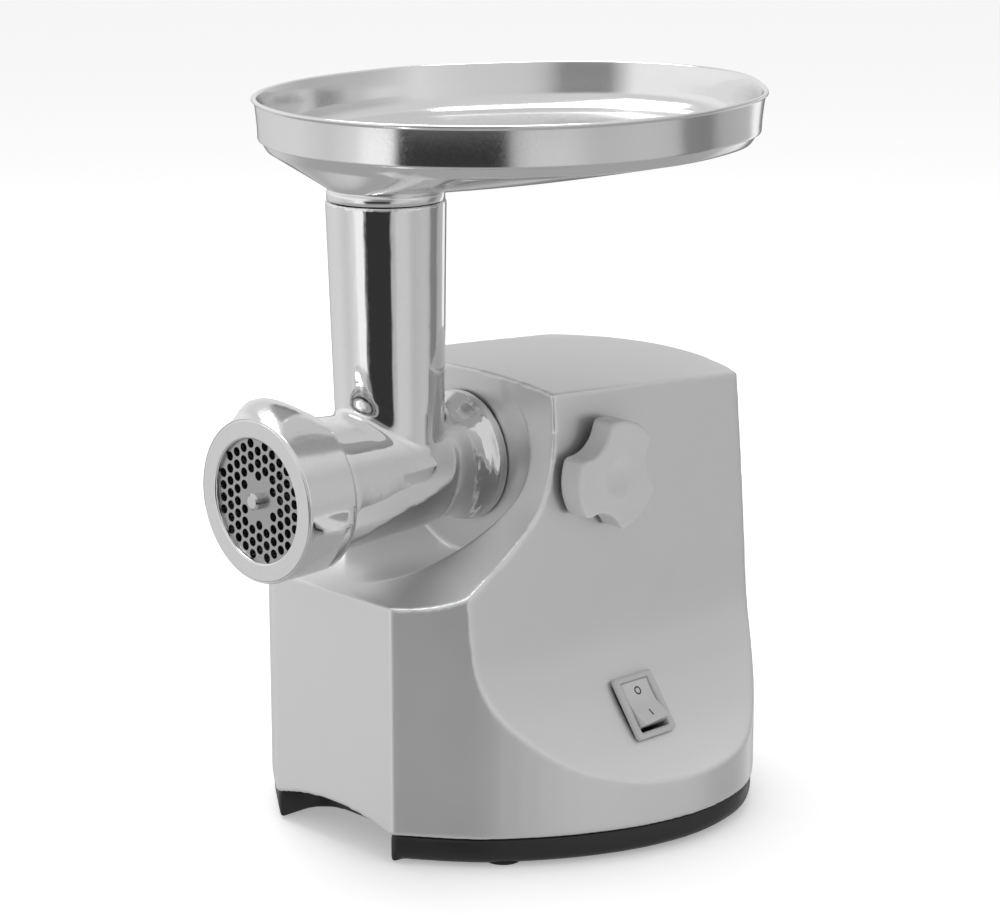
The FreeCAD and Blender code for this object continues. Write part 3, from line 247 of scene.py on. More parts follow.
def put_out(group, ends, sockets):
    """Links what a group works out to its output sockets."""
    for label, source in sockets.items():
        group.links.new(source, ends.inputs[label])


# spark grain of a moulding tool, with a slow change of tone
moulded_skin, ins, ends = begin_group(
    "moulded_skin",
    [("Grain", "Float", 2200.0), ("Tone Low", "Color", (0, 0, 0, 1)), ("Tone High", "Color", (1, 1, 1, 1))],
    [("Color", "Color"), ("Height", "Float"), ("Sheen Spots", "Float")])
spot_at = add_node(moulded_skin, "ShaderNodeTexCoord").outputs["Object"]
pits = add_node(moulded_skin, "ShaderNodeTexNoise", Vector=spot_at, Scale=ins.outputs["Grain"], Detail=3.0,
                Roughness=0.6)
slow = add_node(moulded_skin, "ShaderNodeTexNoise", Vector=spot_at, Scale=38.0, Detail=4.0, Roughness=0.55)
tone = add_node(moulded_skin, "ShaderNodeMix", {"data_type": "RGBA"}, n0=slow.outputs["Fac"],
                n6=ins.outputs["Tone Low"], n7=ins.outputs["Tone High"])
put_out(moulded_skin, ends, {"Color": tone.outputs[2], "Height": pits.outputs["Fac"],
                             "Sheen Spots": slow.outputs["Fac"]})

# lighter, smoother rubbed line along outside edges
rubbed_edge, ins, ends = begin_group("rubbed_edge", [("Start", "Float", 0.53), ("Full", "Float", 0.60)],
                                     [("Edge", "Float")])
crest = add_node(rubbed_edge, "ShaderNodeNewGeometry").outputs["Pointiness"]
edge_part = add_node(rubbed_edge, "ShaderNodeMapRange", {}, Value=crest, From_Min=ins.outputs["Start"],
                     From_Max=ins.outputs["Full"])
put_out(rubbed_edge, ends, {"Edge": edge_part.outputs[0]})


EDGE_SHINE = 0.08


def moulding(name, low, high, gloss_low, gloss_high, grain=2200.0, depth=0.00004):
    """A moulded plastic or rubber: slow tone change, fine spark grain and uneven gloss."""
    material, tree = new_material(name)
    skin = use_group(tree, moulded_skin, Grain=grain, Tone_Low=(*low, 1), Tone_High=(*high, 1))
    edge = use_group(tree, rubbed_edge, Start=0.54, Full=0.64)
    worn = add_node(tree, "ShaderNodeMapRange", {}, Value=skin.outputs["Sheen Spots"],
                    From_Min=0.3, From_Max=0.7, To_Min=gloss_low, To_Max=gloss_high)
    rough = add_node(tree, "ShaderNodeMath", {"operation": "MULTIPLY_ADD"}, n0=edge.outputs["Edge"],
                     n1=-EDGE_SHINE, n2=worn.outputs[0])
    relief = add_node(tree, "ShaderNodeBump", Height=skin.outputs["Height"], Strength=0.6, Distance=depth)
    body = add_node(tree, "ShaderNodeBsdfPrincipled", Base_Color=skin.outputs["Color"],
                    Roughness=rough.outputs[0], Normal=relief.outputs[0])
    add_node(tree, "ShaderNodeOutputMaterial", Surface=body.outputs[0])
    return material


def softened(node, name, cell, passes):
    """The same part with an even skin of small facets and its sharp edges eased, as a new object."""
    piece = bpy.data.objects.new(name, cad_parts[node].data.copy())
    piece.data.materials.clear()
    bpy.context.scene.collection.objects.link(piece)
    skin = piece.modifiers.new("even_skin", "REMESH")
    skin.mode = "VOXEL"
    skin.voxel_size = cell
    skin.use_smooth_shade = True
    ease = piece.modifiers.new("eased_edges", "SMOOTH")
    ease.factor = 0.5
    ease.iterations = passes
    settle(piece)
    return piece


def settle(piece):
    """Turns a piece's modifiers into its final mesh."""
    worked_out = piece.evaluated_get(bpy.context.evaluated_depsgraph_get())
    seen_mesh = bpy.data.meshes.new_from_object(worked_out)
    seen_mesh.name = piece.name
    piece.modifiers.clear()
    piece.data = seen_mesh


def dress(piece, material):
    """Gives a piece its one material."""
    piece.data.materials.clear()
    piece.data.materials.append(material)


def dress_parts(material, *nodes):
    """Gives carried-over parts their one material."""
    for node in nodes:
        dress(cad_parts[node], material)


def fit(piece, material, body, slot, *nodes):
    """Finishes a piece: its material, the body it moves with and the parts it stands for; its slot is not
    used.
    """
    dress(piece, material)
    piece.data.polygons.foreach_set("use_smooth", [True] * len(piece.data.polygons))
    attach(piece, body)
    if nodes:
        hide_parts(*nodes)


black_moulding = moulding("black_moulding", (0.012, 0.012, 0.012), (0.022, 0.022, 0.022), 0.34, 0.50)
PLINTH_CELL = 0.001
PLINTH_EASE = 9
plinth = softened("base_plinth", "plinth", PLINTH_CELL, PLINTH_EASE)
fit(plinth, black_moulding, "base", "black_plastic", "base_plinth")

# ------------------------------------------------------------------ base plate and cord bushing
# Vented moulded plate that closes the underside, held by four screws, and the snap-in bushing
# that guards the cord's hole in the rear wall. Both are the plinth's black plastic.
dress_parts(black_moulding, "base_plate", "cord_bushing")

# ------------------------------------------------------------------ rubber feet and motor dampers
# Soft black rubber mouldings. The feet's necks are pushed through holes in the base, and the
# dampers sit round the motor's ends.
soft_rubber = moulding("soft_rubber", (0.010, 0.010, 0.010), (0.020, 0.020, 0.020), 0.70, 0.85, grain=900.0)
dress_parts(soft_rubber, "rubber_feet", "motor_dampers")

# ------------------------------------------------------------------ housing
# Drawn and pressed metal body with a satin finish, open below and cut away in front by a
# hollow that runs round the bowl. It drops over four posts of the base plate.
HOUSING_CELL = 0.00095
HOUSING_EASE = 12
# the rear wall comes forward towards the top: how far, between which heights and behind which line
BACK_LEAN = 0.0085
LEAN_START = 0.075
LEAN_FULL = 0.215
LEAN_FRONT = 0.02
LEAN_BACK = 0.112
LEAN_CURVE = 1.2

# long fine rubbing marks, with patches where the marks are denser
rubbing_marks, ins, ends = begin_group(
    "rubbing_marks",
    [("Stretch", "Vector", (2600, 2600, 60)), ("Patch", "Float", 14.0)],
    [("Marks", "Float"), ("Patches", "Float")])
spot_at = add_node(rubbing_marks, "ShaderNodeTexCoord").outputs["Object"]
drawn = add_node(rubbing_marks, "ShaderNodeVectorMath", {"operation": "MULTIPLY"}, n0=spot_at,
                 n1=ins.outputs["Stretch"])
lines = add_node(rubbing_marks, "ShaderNodeTexNoise", Vector=drawn.outputs[0], Scale=1.0, Detail=4.0,
                 Roughness=0.65)
clouds = add_node(rubbing_marks, "ShaderNodeTexNoise", Vector=spot_at, Scale=ins.outputs["Patch"], Detail=3.0,
                  Roughness=0.5)
put_out(rubbing_marks, ends, {"Marks": lines.outputs["Fac"], "Patches": clouds.outputs["Fac"]})


PATCH_SCALE = 14.0
EDGE_POLISH = 0.06
DULLER = 0.94


def rubbed_metal(name, tint, gloss, spread, stretch, depth, metal=1.0):
    """A metal rubbed one way: fine marks in relief, uneven gloss and smoother edges."""
    material, tree = new_material(name)
    marks = use_group(tree, rubbing_marks, Stretch=stretch, Patch=PATCH_SCALE)
    edge = use_group(tree, rubbed_edge, Start=0.52, Full=0.60)
    mixed = add_node(tree, "ShaderNodeMath", {"operation": "MULTIPLY_ADD"}, n0=marks.outputs["Marks"], n1=0.6,
                     n2=marks.outputs["Patches"])
    rough = add_node(tree, "ShaderNodeMapRange", {}, Value=mixed.outputs[0], From_Min=0.5, From_Max=1.1,
                     To_Min=gloss - spread, To_Max=gloss + spread)
    polish = add_node(tree, "ShaderNodeMath", {"operation": "MULTIPLY_ADD"}, n0=edge.outputs["Edge"],
                      n1=-EDGE_POLISH, n2=rough.outputs[0])
    low = tuple(t * DULLER for t in tint)
    colour = add_node(tree, "ShaderNodeMix", {"data_type": "RGBA"}, n0=marks.outputs["Patches"],
                      n6=(*low, 1), n7=(*tint, 1))
    relief = add_node(tree, "ShaderNodeBump", Height=marks.outputs["Marks"], Strength=0.5, Distance=depth)
    body = add_node(tree, "ShaderNodeBsdfPrincipled", Base_Color=colour.outputs[2], Metallic=metal,
                    Roughness=polish.outputs[0], Normal=relief.outputs[0])
    add_node(tree, "ShaderNodeOutputMaterial", Surface=body.outputs[0])
    return material


satin_body_metal = rubbed_metal("satin_body_metal", (0.82, 0.82, 0.82), 0.37, 0.035, (3200, 3200, 90),
                                0.000012, metal=0.76)
housing = softened("housing_shell", "housing", HOUSING_CELL, HOUSING_EASE)


def read_points(piece):
    """The piece's points as rows of x, y, z."""
    points = np.empty(len(piece.data.vertices) * 3, np.float32)
    piece.data.vertices.foreach_get("co", points)
    return points.reshape(-1, 3)


def write_points(piece, points):
    """Puts rows of x, y, z back into the piece."""
    piece.data.vertices.foreach_set("co", points.astype(np.float32).ravel())
    piece.data.update()


points = read_points(housing)
behind = np.clip((points[:, 1] - LEAN_FRONT) / (LEAN_BACK - LEAN_FRONT), 0, 1)
upward = np.clip((points[:, 2] - LEAN_START) / (LEAN_FULL - LEAN_START), 0, 1)
points[:, 1] -= BACK_LEAN * behind * behind * (3 - 2 * behind) * upward ** LEAN_CURVE
write_points(housing, points)
fit(housing, satin_body_metal, "base", "housing_metal", "housing_shell")

# ------------------------------------------------------------------ grinding head
# Cast aluminium barrel and feed tube in one piece, polished bright, pushed into the socket
# behind its flange and held there by the lock screw.
HEAD_CELL = 0.0009
HEAD_EASE = 2

# slight unevenness that polishing leaves on a casting, with faint dull spots
polished_skin, ins, ends = begin_group("polished_skin", [("Wave", "Float", 60.0), ("Haze", "Float", 420.0)],
                                       [("Height", "Float"), ("Dull", "Float")])
spot_at = add_node(polished_skin, "ShaderNodeTexCoord").outputs["Object"]
wave = add_node(polished_skin, "ShaderNodeTexNoise", Vector=spot_at, Scale=ins.outputs["Wave"], Detail=2.0,
                Roughness=0.4)
haze = add_node(polished_skin, "ShaderNodeTexNoise", Vector=spot_at, Scale=ins.outputs["Haze"], Detail=5.0,
                Roughness=0.7)
put_out(polished_skin, ends, {"Height": wave.outputs["Fac"], "Dull": haze.outputs["Fac"]})


HAZE_TINT = 0.95


def polished_metal(name, tint, gloss, spread, wave, depth, haze=420.0):
    """A bright metal with a slow wave in its surface and a little haze."""
    material, tree = new_material(name)
    skin = use_group(tree, polished_skin, Wave=wave, Haze=haze)
    rough = add_node(tree, "ShaderNodeMapRange", {}, Value=skin.outputs["Dull"], From_Min=0.35, From_Max=0.7,
                     To_Min=gloss - spread, To_Max=gloss + spread)
    low = tuple(t * HAZE_TINT for t in tint)
    colour = add_node(tree, "ShaderNodeMix", {"data_type": "RGBA"}, n0=skin.outputs["Dull"], n6=(*tint, 1),
                      n7=(*low, 1))
    relief = add_node(tree, "ShaderNodeBump", Height=skin.outputs["Height"], Strength=0.5, Distance=depth)
    body = add_node(tree, "ShaderNodeBsdfPrincipled", Base_Color=colour.outputs[2], Metallic=1.0,
                    Roughness=rough.outputs[0], Normal=relief.outputs[0])
    add_node(tree, "ShaderNodeOutputMaterial", Surface=body.outputs[0])
    return material


polished_casting = polished_metal("polished_casting", (0.90, 0.90, 0.90), 0.085, 0.04, 55.0, 0.00035)
BARREL_HEIGHT = 172.0
TUBE_BACK = 79.5
TUBE_FOOT_R = 25.0
BARREL_R = 30.5
BLEND_REACH = 9.0
BLEND_GAIN = 3
BLEND_PASSES = 60
BLEND_ABOVE = 0.002
# the barrel's profile behind the feed tube: distance from the front, and radius as drawn and as polished
FLARE = [(84, 28.75, 28.75), (95, 28.4, 28.3), (101, 27.3, 27.6), (106, 26.4, 27.1), (109, 26.2, 27.0),
         (112, 26.0, 27.15), (115, 26.7, 27.7), (118, 27.4, 28.7), (120, 29.2, 29.7), (122, 31.0, 31.0)]
FLARE_START = 84
FLARE_END = 121.9
FLARE_SKIN = 1.3
head = softened("grinder_head", "head", HEAD_CELL, HEAD_EASE)
places = read_points(head)
tube_axis = spot(0, TUBE_BACK, BARREL_HEIGHT)
from_tube = np.hypot(places[:, 0] - tube_axis.x, places[:, 1] - tube_axis.y) * 1000
from_barrel = np.hypot(places[:, 0] - tube_axis.x, places[:, 2] - tube_axis.z) * 1000
along = (places[:, 1] - NUT_FRONT) * 1000
drawn_r = np.interp(along, [f[0] for f in FLARE], [f[1] for f in FLARE])
polished_r = np.interp(along, [f[0] for f in FLARE], [f[2] for f in FLARE])
moved = (along > FLARE_START) & (along < FLARE_END) & (np.abs(from_barrel - drawn_r) < FLARE_SKIN)
growth = np.where(moved, polished_r / drawn_r, 1.0)
places[:, 0] = tube_axis.x + (places[:, 0] - tube_axis.x) * growth
places[:, 2] = tube_axis.z + (places[:, 2] - tube_axis.z) * growth
write_points(head, places)
seam = np.clip(1 - np.abs(from_tube - TUBE_FOOT_R) / BLEND_REACH, 0, 1)
seam *= np.clip(1 - np.abs(from_barrel - BARREL_R) / BLEND_REACH, 0, 1)
seam *= places[:, 2] > tube_axis.z + BLEND_ABOVE
seam = np.clip(seam * BLEND_GAIN, 0, 1)
corner = head.vertex_groups.new(name="tube_seam")
for i in np.nonzero(seam > 0.01)[0]:
    corner.add([int(i)], float(seam[i]), "REPLACE")
blend = head.modifiers.new("cast_blend", "SMOOTH")
blend.factor = 0.5
blend.iterations = BLEND_PASSES
blend.vertex_group = "tube_seam"
settle(head)
fit(head, polished_casting, "head", "polished_cast", "grinder_head")

# ------------------------------------------------------------------ ring nut
# Turned aluminium nut with three cast grips, screwed over the front of the barrel. Its flat
# front lip holds the mincing plate.
NUT_R = 37.5
NUT_LENGTH = 28.0
NUT_OPENING_R = 28.0
NUT_THREAD_R = 33.9
NUT_SEAT_R = 31.3
NUT_STEPS = 480
# how high a grip stands, by degrees from straight up towards the lock knob: steep at one end,
# running out at the other
GRIP_DEGREES = [-31.5, -30, -28.5, -25, -22.5, -21, -18, -14, -10, -5, 0, 5, 10, 16, 19, 20.5,
                25, 30, 35, 41]
GRIP_HEIGHT = [0, 0.3, 1.2, 4.4, 6.6, 7.1, 7.2, 6.8, 6.2, 5.2, 4.3, 3.5, 2.8, 2.2, 1.9, 1.6,
               0.95, 0.5, 0.2, 0]
GRIP_CROWN = 0.75
GRIP_MIDDLE_Y = 13.8
GRIP_HALF_Y = 12.4


def turned(name, rings):
    """A closed skin from rings of points that follow one another, joined last to first."""
    form = bmesh.new()
    loops = [[form.verts.new(p) for p in ring] for ring in rings]
    count = len(loops[0])
    for k in range(len(loops)):
        a, b = loops[k], loops[(k + 1) % len(loops)]
        for i in range(count):
            j = (i + 1) % count
            form.faces.new((a[i], a[j], b[j], b[i]))
    bmesh.ops.recalc_face_normals(form, faces=form.faces)
    return stand_up(name, form)


def grip_height(degrees, y):
    """How far a grip stands above the nut, crowned along the nut's length."""
    turn = (degrees + 60) % 120 - 60
    crown = 1 - ((y - GRIP_MIDDLE_Y) / GRIP_HALF_Y) ** 2
    if crown <= 0:
        return 0.0
    return float(np.interp(turn, GRIP_DEGREES, GRIP_HEIGHT)) * crown ** GRIP_CROWN


# radius, distance from the front face, and whether the grips stand on that ring
outside = [(NUT_R - 1.7, 0.0, 0), (NUT_R - 1.25, 0.0, 0), (NUT_R - 1.1, 0.12, 0), (NUT_R - 1.0, 0.45, 0),
           (NUT_R - 0.75, 0.45, 0), (NUT_R - 0.65, 0.25, 0), (NUT_R - 0.5, 0.25, 0), (NUT_R - 0.2, 0.5, 0),
           (NUT_R - 0.02, 1.1, 0)]
GRIPPED_LEVELS = [1.45, 1.7, 2.1, 2.6, 3.2, 4.0, 5.0, 6.2, 7.6, 9.2, 11.2, 13.8, 16.4, 18.4, 20.0, 21.4,
                  22.6, 23.6, 24.4, 25.0, 25.5, 25.9, 26.15, 26.6]
NUT_TAPER = 0.015
outside += [(NUT_R - NUT_TAPER * y, y, 1) for y in GRIPPED_LEVELS]
inside = [(NUT_R - 0.5, NUT_LENGTH - 0.9, 0), (NUT_R - 0.8, NUT_LENGTH - 0.3, 0),
          (NUT_R - 1.4, NUT_LENGTH, 0), (NUT_R - 2.2, NUT_LENGTH, 0),
          (NUT_THREAD_R + 0.5, NUT_LENGTH, 0), (NUT_THREAD_R, NUT_LENGTH - 0.5, 0),
          (NUT_THREAD_R, 16, 0), (NUT_THREAD_R, 4.3, 0), (NUT_THREAD_R - 0.1, 4.2, 0),
          (NUT_SEAT_R + 0.1, 4.2, 0), (NUT_SEAT_R, 4.1, 0), (NUT_SEAT_R, 2.1, 0), (NUT_SEAT_R - 0.1, 2.0, 0),
          (NUT_OPENING_R + 0.1, 2.0, 0), (NUT_OPENING_R, 1.9, 0), (NUT_OPENING_R, 1.0, 0),
          (NUT_OPENING_R + 0.25, 0.35, 0), (NUT_OPENING_R + 0.8, 0.0, 0), (NUT_OPENING_R + 1.3, 0.0, 0)]
nut_rings = []
for radius, y, gripped in outside + inside:
    ring = []
    for i in range(NUT_STEPS):
        degrees = 360 * i / NUT_STEPS
        r = radius
        if gripped:
            r += grip_height(degrees, y)
        a = math.radians(degrees)
        ring.append(spot(r * math.sin(a), y, BARREL_HEIGHT + r * math.cos(a)))
    nut_rings.append(ring)
nut = turned("nut", nut_rings)
satin_casting = polished_metal("satin_casting", (0.88, 0.88, 0.88), 0.16, 0.05, 70.0, 0.00025, 700.0)
fit(nut, satin_casting, "nut", "polished_cast", "ring_nut")

# ------------------------------------------------------------------ mincing plate, knife, stud and drive tail
# Ground steel plate with drilled holes, the four-armed knife behind it, and the feed screw's
# steel ends. They stack on the screw's axis and turn or rest inside the nut.
ground_steel = rubbed_metal("ground_steel", (0.52, 0.52, 0.52), 0.33, 0.05, (1800, 1800, 1800), 0.00001)
# the knife's near-black steel is painted shade: it makes the plate's holes look dark, as the shaded inside of
# the head would
knife_painted_shade = rubbed_metal("knife_painted_shade", (0.07, 0.07, 0.07), 0.50, 0.05, (1500, 1500, 1500), 0.00001)
bright_steel = polished_metal("bright_steel", (0.78, 0.78, 0.78), 0.16, 0.04, 90.0, 0.0001)
dress_parts(ground_steel, "mincing_plate")
dress_parts(knife_painted_shade, "cutter_knife")
dress_parts(bright_steel, "screw_stud", "drive_tail")

# ------------------------------------------------------------------ feed screw and thrust washer
# Cast aluminium screw that pushes the meat forward, and the nylon ring that takes its thrust.
# The motor's fan and the posts inside the base are moulded in the same white nylon.
dress_parts(polished_casting, "feed_screw")
white_nylon = moulding("white_nylon", (0.70, 0.70, 0.68), (0.80, 0.80, 0.78), 0.40, 0.55)
dress_parts(white_nylon, "thrust_washer", "cooling_fan", "base_posts", "board_standoffs")

# ------------------------------------------------------------------ hopper tray
# Deep-drawn aluminium dish, egg-shaped, with an upright wall and a thin folded rim. Its neck
# drops into the feed tube, so it lifts off by hand.
TRAY_REACH = [166.0, 160.5, 146.0, 135.5, 126.0, 117.5, 112.5, 109.5, 108.5, 108.0, 108.0, 109.0, 109.5]
TRAY_MIDDLE = 76.0
TRAY_TURN = math.radians(10.0)
TRAY_TOP = 337.5
TRAY_WALL = 18.5
TRAY_SHEET = 1.3
TRAY_STEPS = 300
THROAT_R = 25.8
THROAT_HEIGHT = 303.3
NECK_R = 24.5
NECK_BORE_R = 22.6
NECK_FOOT = 282.3

knots = np.array(TRAY_REACH + TRAY_REACH[-2:0:-1])
waves = np.fft.rfft(knots)


def tray_reach(angle):
    """The rim's distance from the tray's middle, a smooth closed curve through the listed reaches."""
    total = waves[0].real
    for k in range(1, len(waves)):
        share = 1 if k == len(waves) - 1 else 2
        total += share * (waves[k].real * math.cos(k * angle) - waves[k].imag * math.sin(k * angle))
    return total / len(knots)


def tray_point(angle, scale, inset, z, toward=0.0, throat=THROAT_R):
    """A point of the dish: on the outline, or part of the way towards the throat's circle."""
    r = tray_reach(angle) * scale - inset
    u = TRAY_MIDDLE + r * math.cos(angle)
    w = r * math.sin(angle)
    x = w * math.cos(TRAY_TURN) - u * math.sin(TRAY_TURN)
    y = w * math.sin(TRAY_TURN) + u * math.cos(TRAY_TURN)
    a = math.atan2(y, x)
    x += (throat * math.cos(a) - x) * toward
    y = TUBE_BACK + y + (throat * math.sin(a) - y) * toward
    return spot(x, y, z)


WALL_FOOT = TRAY_TOP - TRAY_WALL
DISH_EDGE = WALL_FOOT - 5.5
DISH_SCALE = 0.95
DISH_STEPS = 12
DISH_SAG = 0.16
angles = [2 * math.pi * i / TRAY_STEPS for i in range(TRAY_STEPS)]


def neck_ring(r, z):
    """A circle round the feed tube whose points follow the dish's directions."""
    return [tray_point(a, DISH_SCALE, 0, z, 1.0, r) for a in angles]


def dish_rings(inset, lift, order):
    """The sloping dish from its edge to the throat, a little fuller than a straight slope."""
    rings = []
    for k in order:
        t = k / DISH_STEPS
        z = DISH_EDGE - (DISH_EDGE - THROAT_HEIGHT) * (t + DISH_SAG * math.sin(math.pi * t)) + lift
        rings.append([tray_point(a, DISH_SCALE, inset, z, t, THROAT_R - inset) for a in angles])
    return rings


tray_rings = [neck_ring(NECK_BORE_R + 0.3, NECK_FOOT), neck_ring(NECK_R - 0.4, NECK_FOOT),
              neck_ring(NECK_R, NECK_FOOT + 0.5), neck_ring(NECK_R, 298.4), neck_ring(NECK_R + 0.2, 298.6),
              neck_ring(THROAT_R + 0.7, 298.6), neck_ring(THROAT_R + 1.0, 298.9),
              neck_ring(THROAT_R + 1.0, 302.0), neck_ring(THROAT_R + 0.6, 302.9)]
tray_rings += dish_rings(0, 0, range(DISH_STEPS, -1, -1))
# up the outside of the wall, over the folded rim, and down the inside
for scale, z in ((0.9575, DISH_EDGE + 1.2), (0.9640, DISH_EDGE + 2.5), (0.9695, DISH_EDGE + 3.6),
                 (0.9720, DISH_EDGE + 4.2), (0.9735, DISH_EDGE + 4.5), (0.9800, DISH_EDGE + 4.55),
                 (0.9835, DISH_EDGE + 4.7), (0.9855, DISH_EDGE + 5.1), (0.9862, WALL_FOOT + 0.4),
                 (0.9864, WALL_FOOT + 1.2), (0.9868, WALL_FOOT + 3.5), (0.990, WALL_FOOT + 8.0),
                 (0.9945, WALL_FOOT + 13.0), (0.9985, TRAY_TOP - 2.4)):
    tray_rings.append([tray_point(a, scale, 0, z) for a in angles])
for inset, z in ((0.1, TRAY_TOP - 1.9), (-0.9, TRAY_TOP - 1.5), (-1.2, TRAY_TOP - 1.0),
                 (-1.1, TRAY_TOP - 0.4), (-0.6, TRAY_TOP), (0.4, TRAY_TOP), (1.1, TRAY_TOP - 0.3),
                 (TRAY_SHEET, TRAY_TOP - 0.9)):
    tray_rings.append([tray_point(a, 1.0, inset, z) for a in angles])
for scale, z in ((0.9945, WALL_FOOT + 13.0), (0.990, WALL_FOOT + 8.0), (0.987, WALL_FOOT + 4.4),
                 (0.985, WALL_FOOT + 2.6), (0.9815, WALL_FOOT + 1.3), (0.977, WALL_FOOT - 0.1),
                 (0.971, DISH_EDGE + 4.2), (0.9640, DISH_EDGE + 3.0), (0.9575, DISH_EDGE + 2.1)):
    tray_rings.append([tray_point(a, scale, TRAY_SHEET, z) for a in angles])
tray_rings += dish_rings(TRAY_SHEET, TRAY_SHEET, range(DISH_STEPS))
tray_rings += [neck_ring(NECK_BORE_R + 0.8, THROAT_HEIGHT + 1.2),
               neck_ring(NECK_BORE_R + 0.2, THROAT_HEIGHT + 0.6), neck_ring(NECK_BORE_R, THROAT_HEIGHT - 0.4),
               neck_ring(NECK_BORE_R, 292.0), neck_ring(NECK_BORE_R, NECK_FOOT + 0.4)]
tray = turned("tray", tray_rings)
polished_sheet = polished_metal("polished_sheet", (0.90, 0.90, 0.90), 0.15, 0.05, 26.0, 0.0005, 900.0)
fit(tray, polished_sheet, "tray", "polished_sheet", "hopper_tray")

# ------------------------------------------------------------------ lock knob
# Pale grey moulded knob with three grips and a thumb dish, moulded onto the lock screw that
# clamps the grinding head's spigot.
KNOB_BACK = 69.6
KNOB_THICK = 12.4
KNOB_R = 26.0
KNOB_ROUND = 1.7
KNOB_MIDDLE_Y = 148.0
SCOOP_R = 16.0
SCOOP_OUT = 34.2
SCOOP_TURN = 8.0
DIMPLE_R = 9.6
SCOOP_BLEND = 4.0
NO_SCOOP = 60.0
DIMPLE_DEPTH = 2.2
EDGE_STEPS = 6
FACE_STEPS = 15
FACE_MIDDLE_R = 1.2
FACE_DOME = 0.5
KNOB_STEPS = 240


def knob_reach(degrees):
    """The knob's outline: a circle with three rounded scoops taken out of it."""
    off = math.radians((degrees - SCOOP_TURN + 60) % 120 - 60)
    across = SCOOP_OUT * math.sin(off)
    if abs(across) >= SCOOP_R:
        scoop = NO_SCOOP
    else:
        scoop = SCOOP_OUT * math.cos(off) - math.sqrt(SCOOP_R ** 2 - across ** 2)
    mix = max(0.0, min(1.0, 0.5 + (scoop - KNOB_R) / SCOOP_BLEND))
    return scoop + (KNOB_R - scoop) * mix - SCOOP_BLEND / 2 * mix * (1 - mix)


# depth from the knob's back, and how far in from its outline
knob_profile = [(0.0, 0.4), (0.4, 0.0)]
knob_profile += [(KNOB_THICK * k / EDGE_STEPS, 0.0) for k in range(1, 5)]
for k in range(EDGE_STEPS + 1):
    a = math.pi / 2 * k / EDGE_STEPS
    knob_profile.append((KNOB_THICK - KNOB_ROUND * (1 - math.sin(a)), KNOB_ROUND * (1 - math.cos(a))))
raw = [knob_reach(360 * i / KNOB_STEPS) for i in range(KNOB_STEPS)]
reach = []
for i in range(KNOB_STEPS):
    near = [raw[(i + k) % KNOB_STEPS] for k in range(-2, 3)]
    reach.append(sum(near) / len(near))


def knob_spot(depth, radius, i):
    """A point of the knob at a depth from its back, on one of its spokes."""
    a = 2 * math.pi * i / KNOB_STEPS
    return spot(KNOB_BACK + depth, KNOB_MIDDLE_Y + radius * math.cos(a), BARREL_HEIGHT + radius * math.sin(a))


knob_rings = [[knob_spot(depth, reach[i] - inset, i) for i in range(KNOB_STEPS)]
              for depth, inset in knob_profile]
for k in range(1, FACE_STEPS):
    t = k / FACE_STEPS
    ring = []
    for i in range(KNOB_STEPS):
        edge = reach[i] - KNOB_ROUND
        r = edge + (FACE_MIDDLE_R - edge) * t
        dome = FACE_DOME * (1 - (r / KNOB_R) ** 2)
        dip = DIMPLE_DEPTH * max(0.0, 1 - (r / DIMPLE_R) ** 2) ** 1.3
        ring.append(knob_spot(KNOB_THICK + dome * t - dip, r, i))
    knob_rings.append(ring)
form = bmesh.new()
loops = [[form.verts.new(p) for p in ring] for ring in knob_rings]
for a, b in zip(loops, loops[1:]):
    for i in range(KNOB_STEPS):
        j = (i + 1) % KNOB_STEPS
        form.faces.new((a[i], a[j], b[j], b[i]))
for end in (loops[0], loops[-1]):
    middle = form.verts.new(sum((v.co for v in end), Vector()) / KNOB_STEPS)
    for i in range(KNOB_STEPS):
        form.faces.new((end[i], end[(i + 1) % KNOB_STEPS], middle))
bmesh.ops.recalc_face_normals(form, faces=form.faces)
knob = stand_up("knob", form)
pale_moulding = moulding("pale_moulding", (0.50, 0.50, 0.50), (0.56, 0.56, 0.56), 0.36, 0.46, depth=0.00002)
fit(knob, pale_moulding, "lock", "grey_plastic", "lock_knob")
# the knob's back face takes the black moulding as painted shade, darkening the shadow and the knob's
# reflection on the panel beside it
knob.data.materials.append(black_moulding)
SHADED_BACK_DEPTH = 0.5
for face in knob.data.polygons:
    if face.center.x < spot(KNOB_BACK + SHADED_BACK_DEPTH, 0, 0).x:
        face.material_index = 1

# ------------------------------------------------------------------ rocker switch
# Pale grey snap-in switch on the sloping flank: a bevelled frame, a two-way rocker and the
# two printed marks. The frame's body clips through the panel and the rocker turns on a pin.
SWITCH_LEAN = math.radians(35.5)
SWITCH_PLACE = (87.5, 158.0, 60.1)
FRAME_LONG = 31.0
FRAME_WIDE = 26.0
WELL_LONG = 24.8
WELL_WIDE = 18.3
FRAME_LOW = 1.3
FRAME_HIGH = 3.5
WELL_DEEP = -9.5
ROCKER_WIDE = 17.5
ROCKER_HALF = 10.9
ROCKER_TILT = math.radians(-11.0)
PIVOT_DROP = -3.0
on_panel = Matrix.Translation(spot(*SWITCH_PLACE)) @ Matrix.Rotation(math.pi / 2 - SWITCH_LEAN, 4, "Y")
on_panel = on_panel @ Matrix.Scale(0.001, 4)


def rounded_oblong(long_side, wide_side, r, z, corner_steps=6):
    """Points round an oblong with rounded corners, lying flat at height z."""
    points = []
    for cx, cy, start in ((1, 1, 0), (-1, 1, 90), (-1, -1, 180), (1, -1, 270)):
        for k in range(corner_steps + 1):
            a = math.radians(start + 90 * k / corner_steps)
            points.append(Vector((cx * (long_side / 2 - r) + r * math.cos(a),
                                  cy * (wide_side / 2 - r) + r * math.sin(a), z)))
    return points


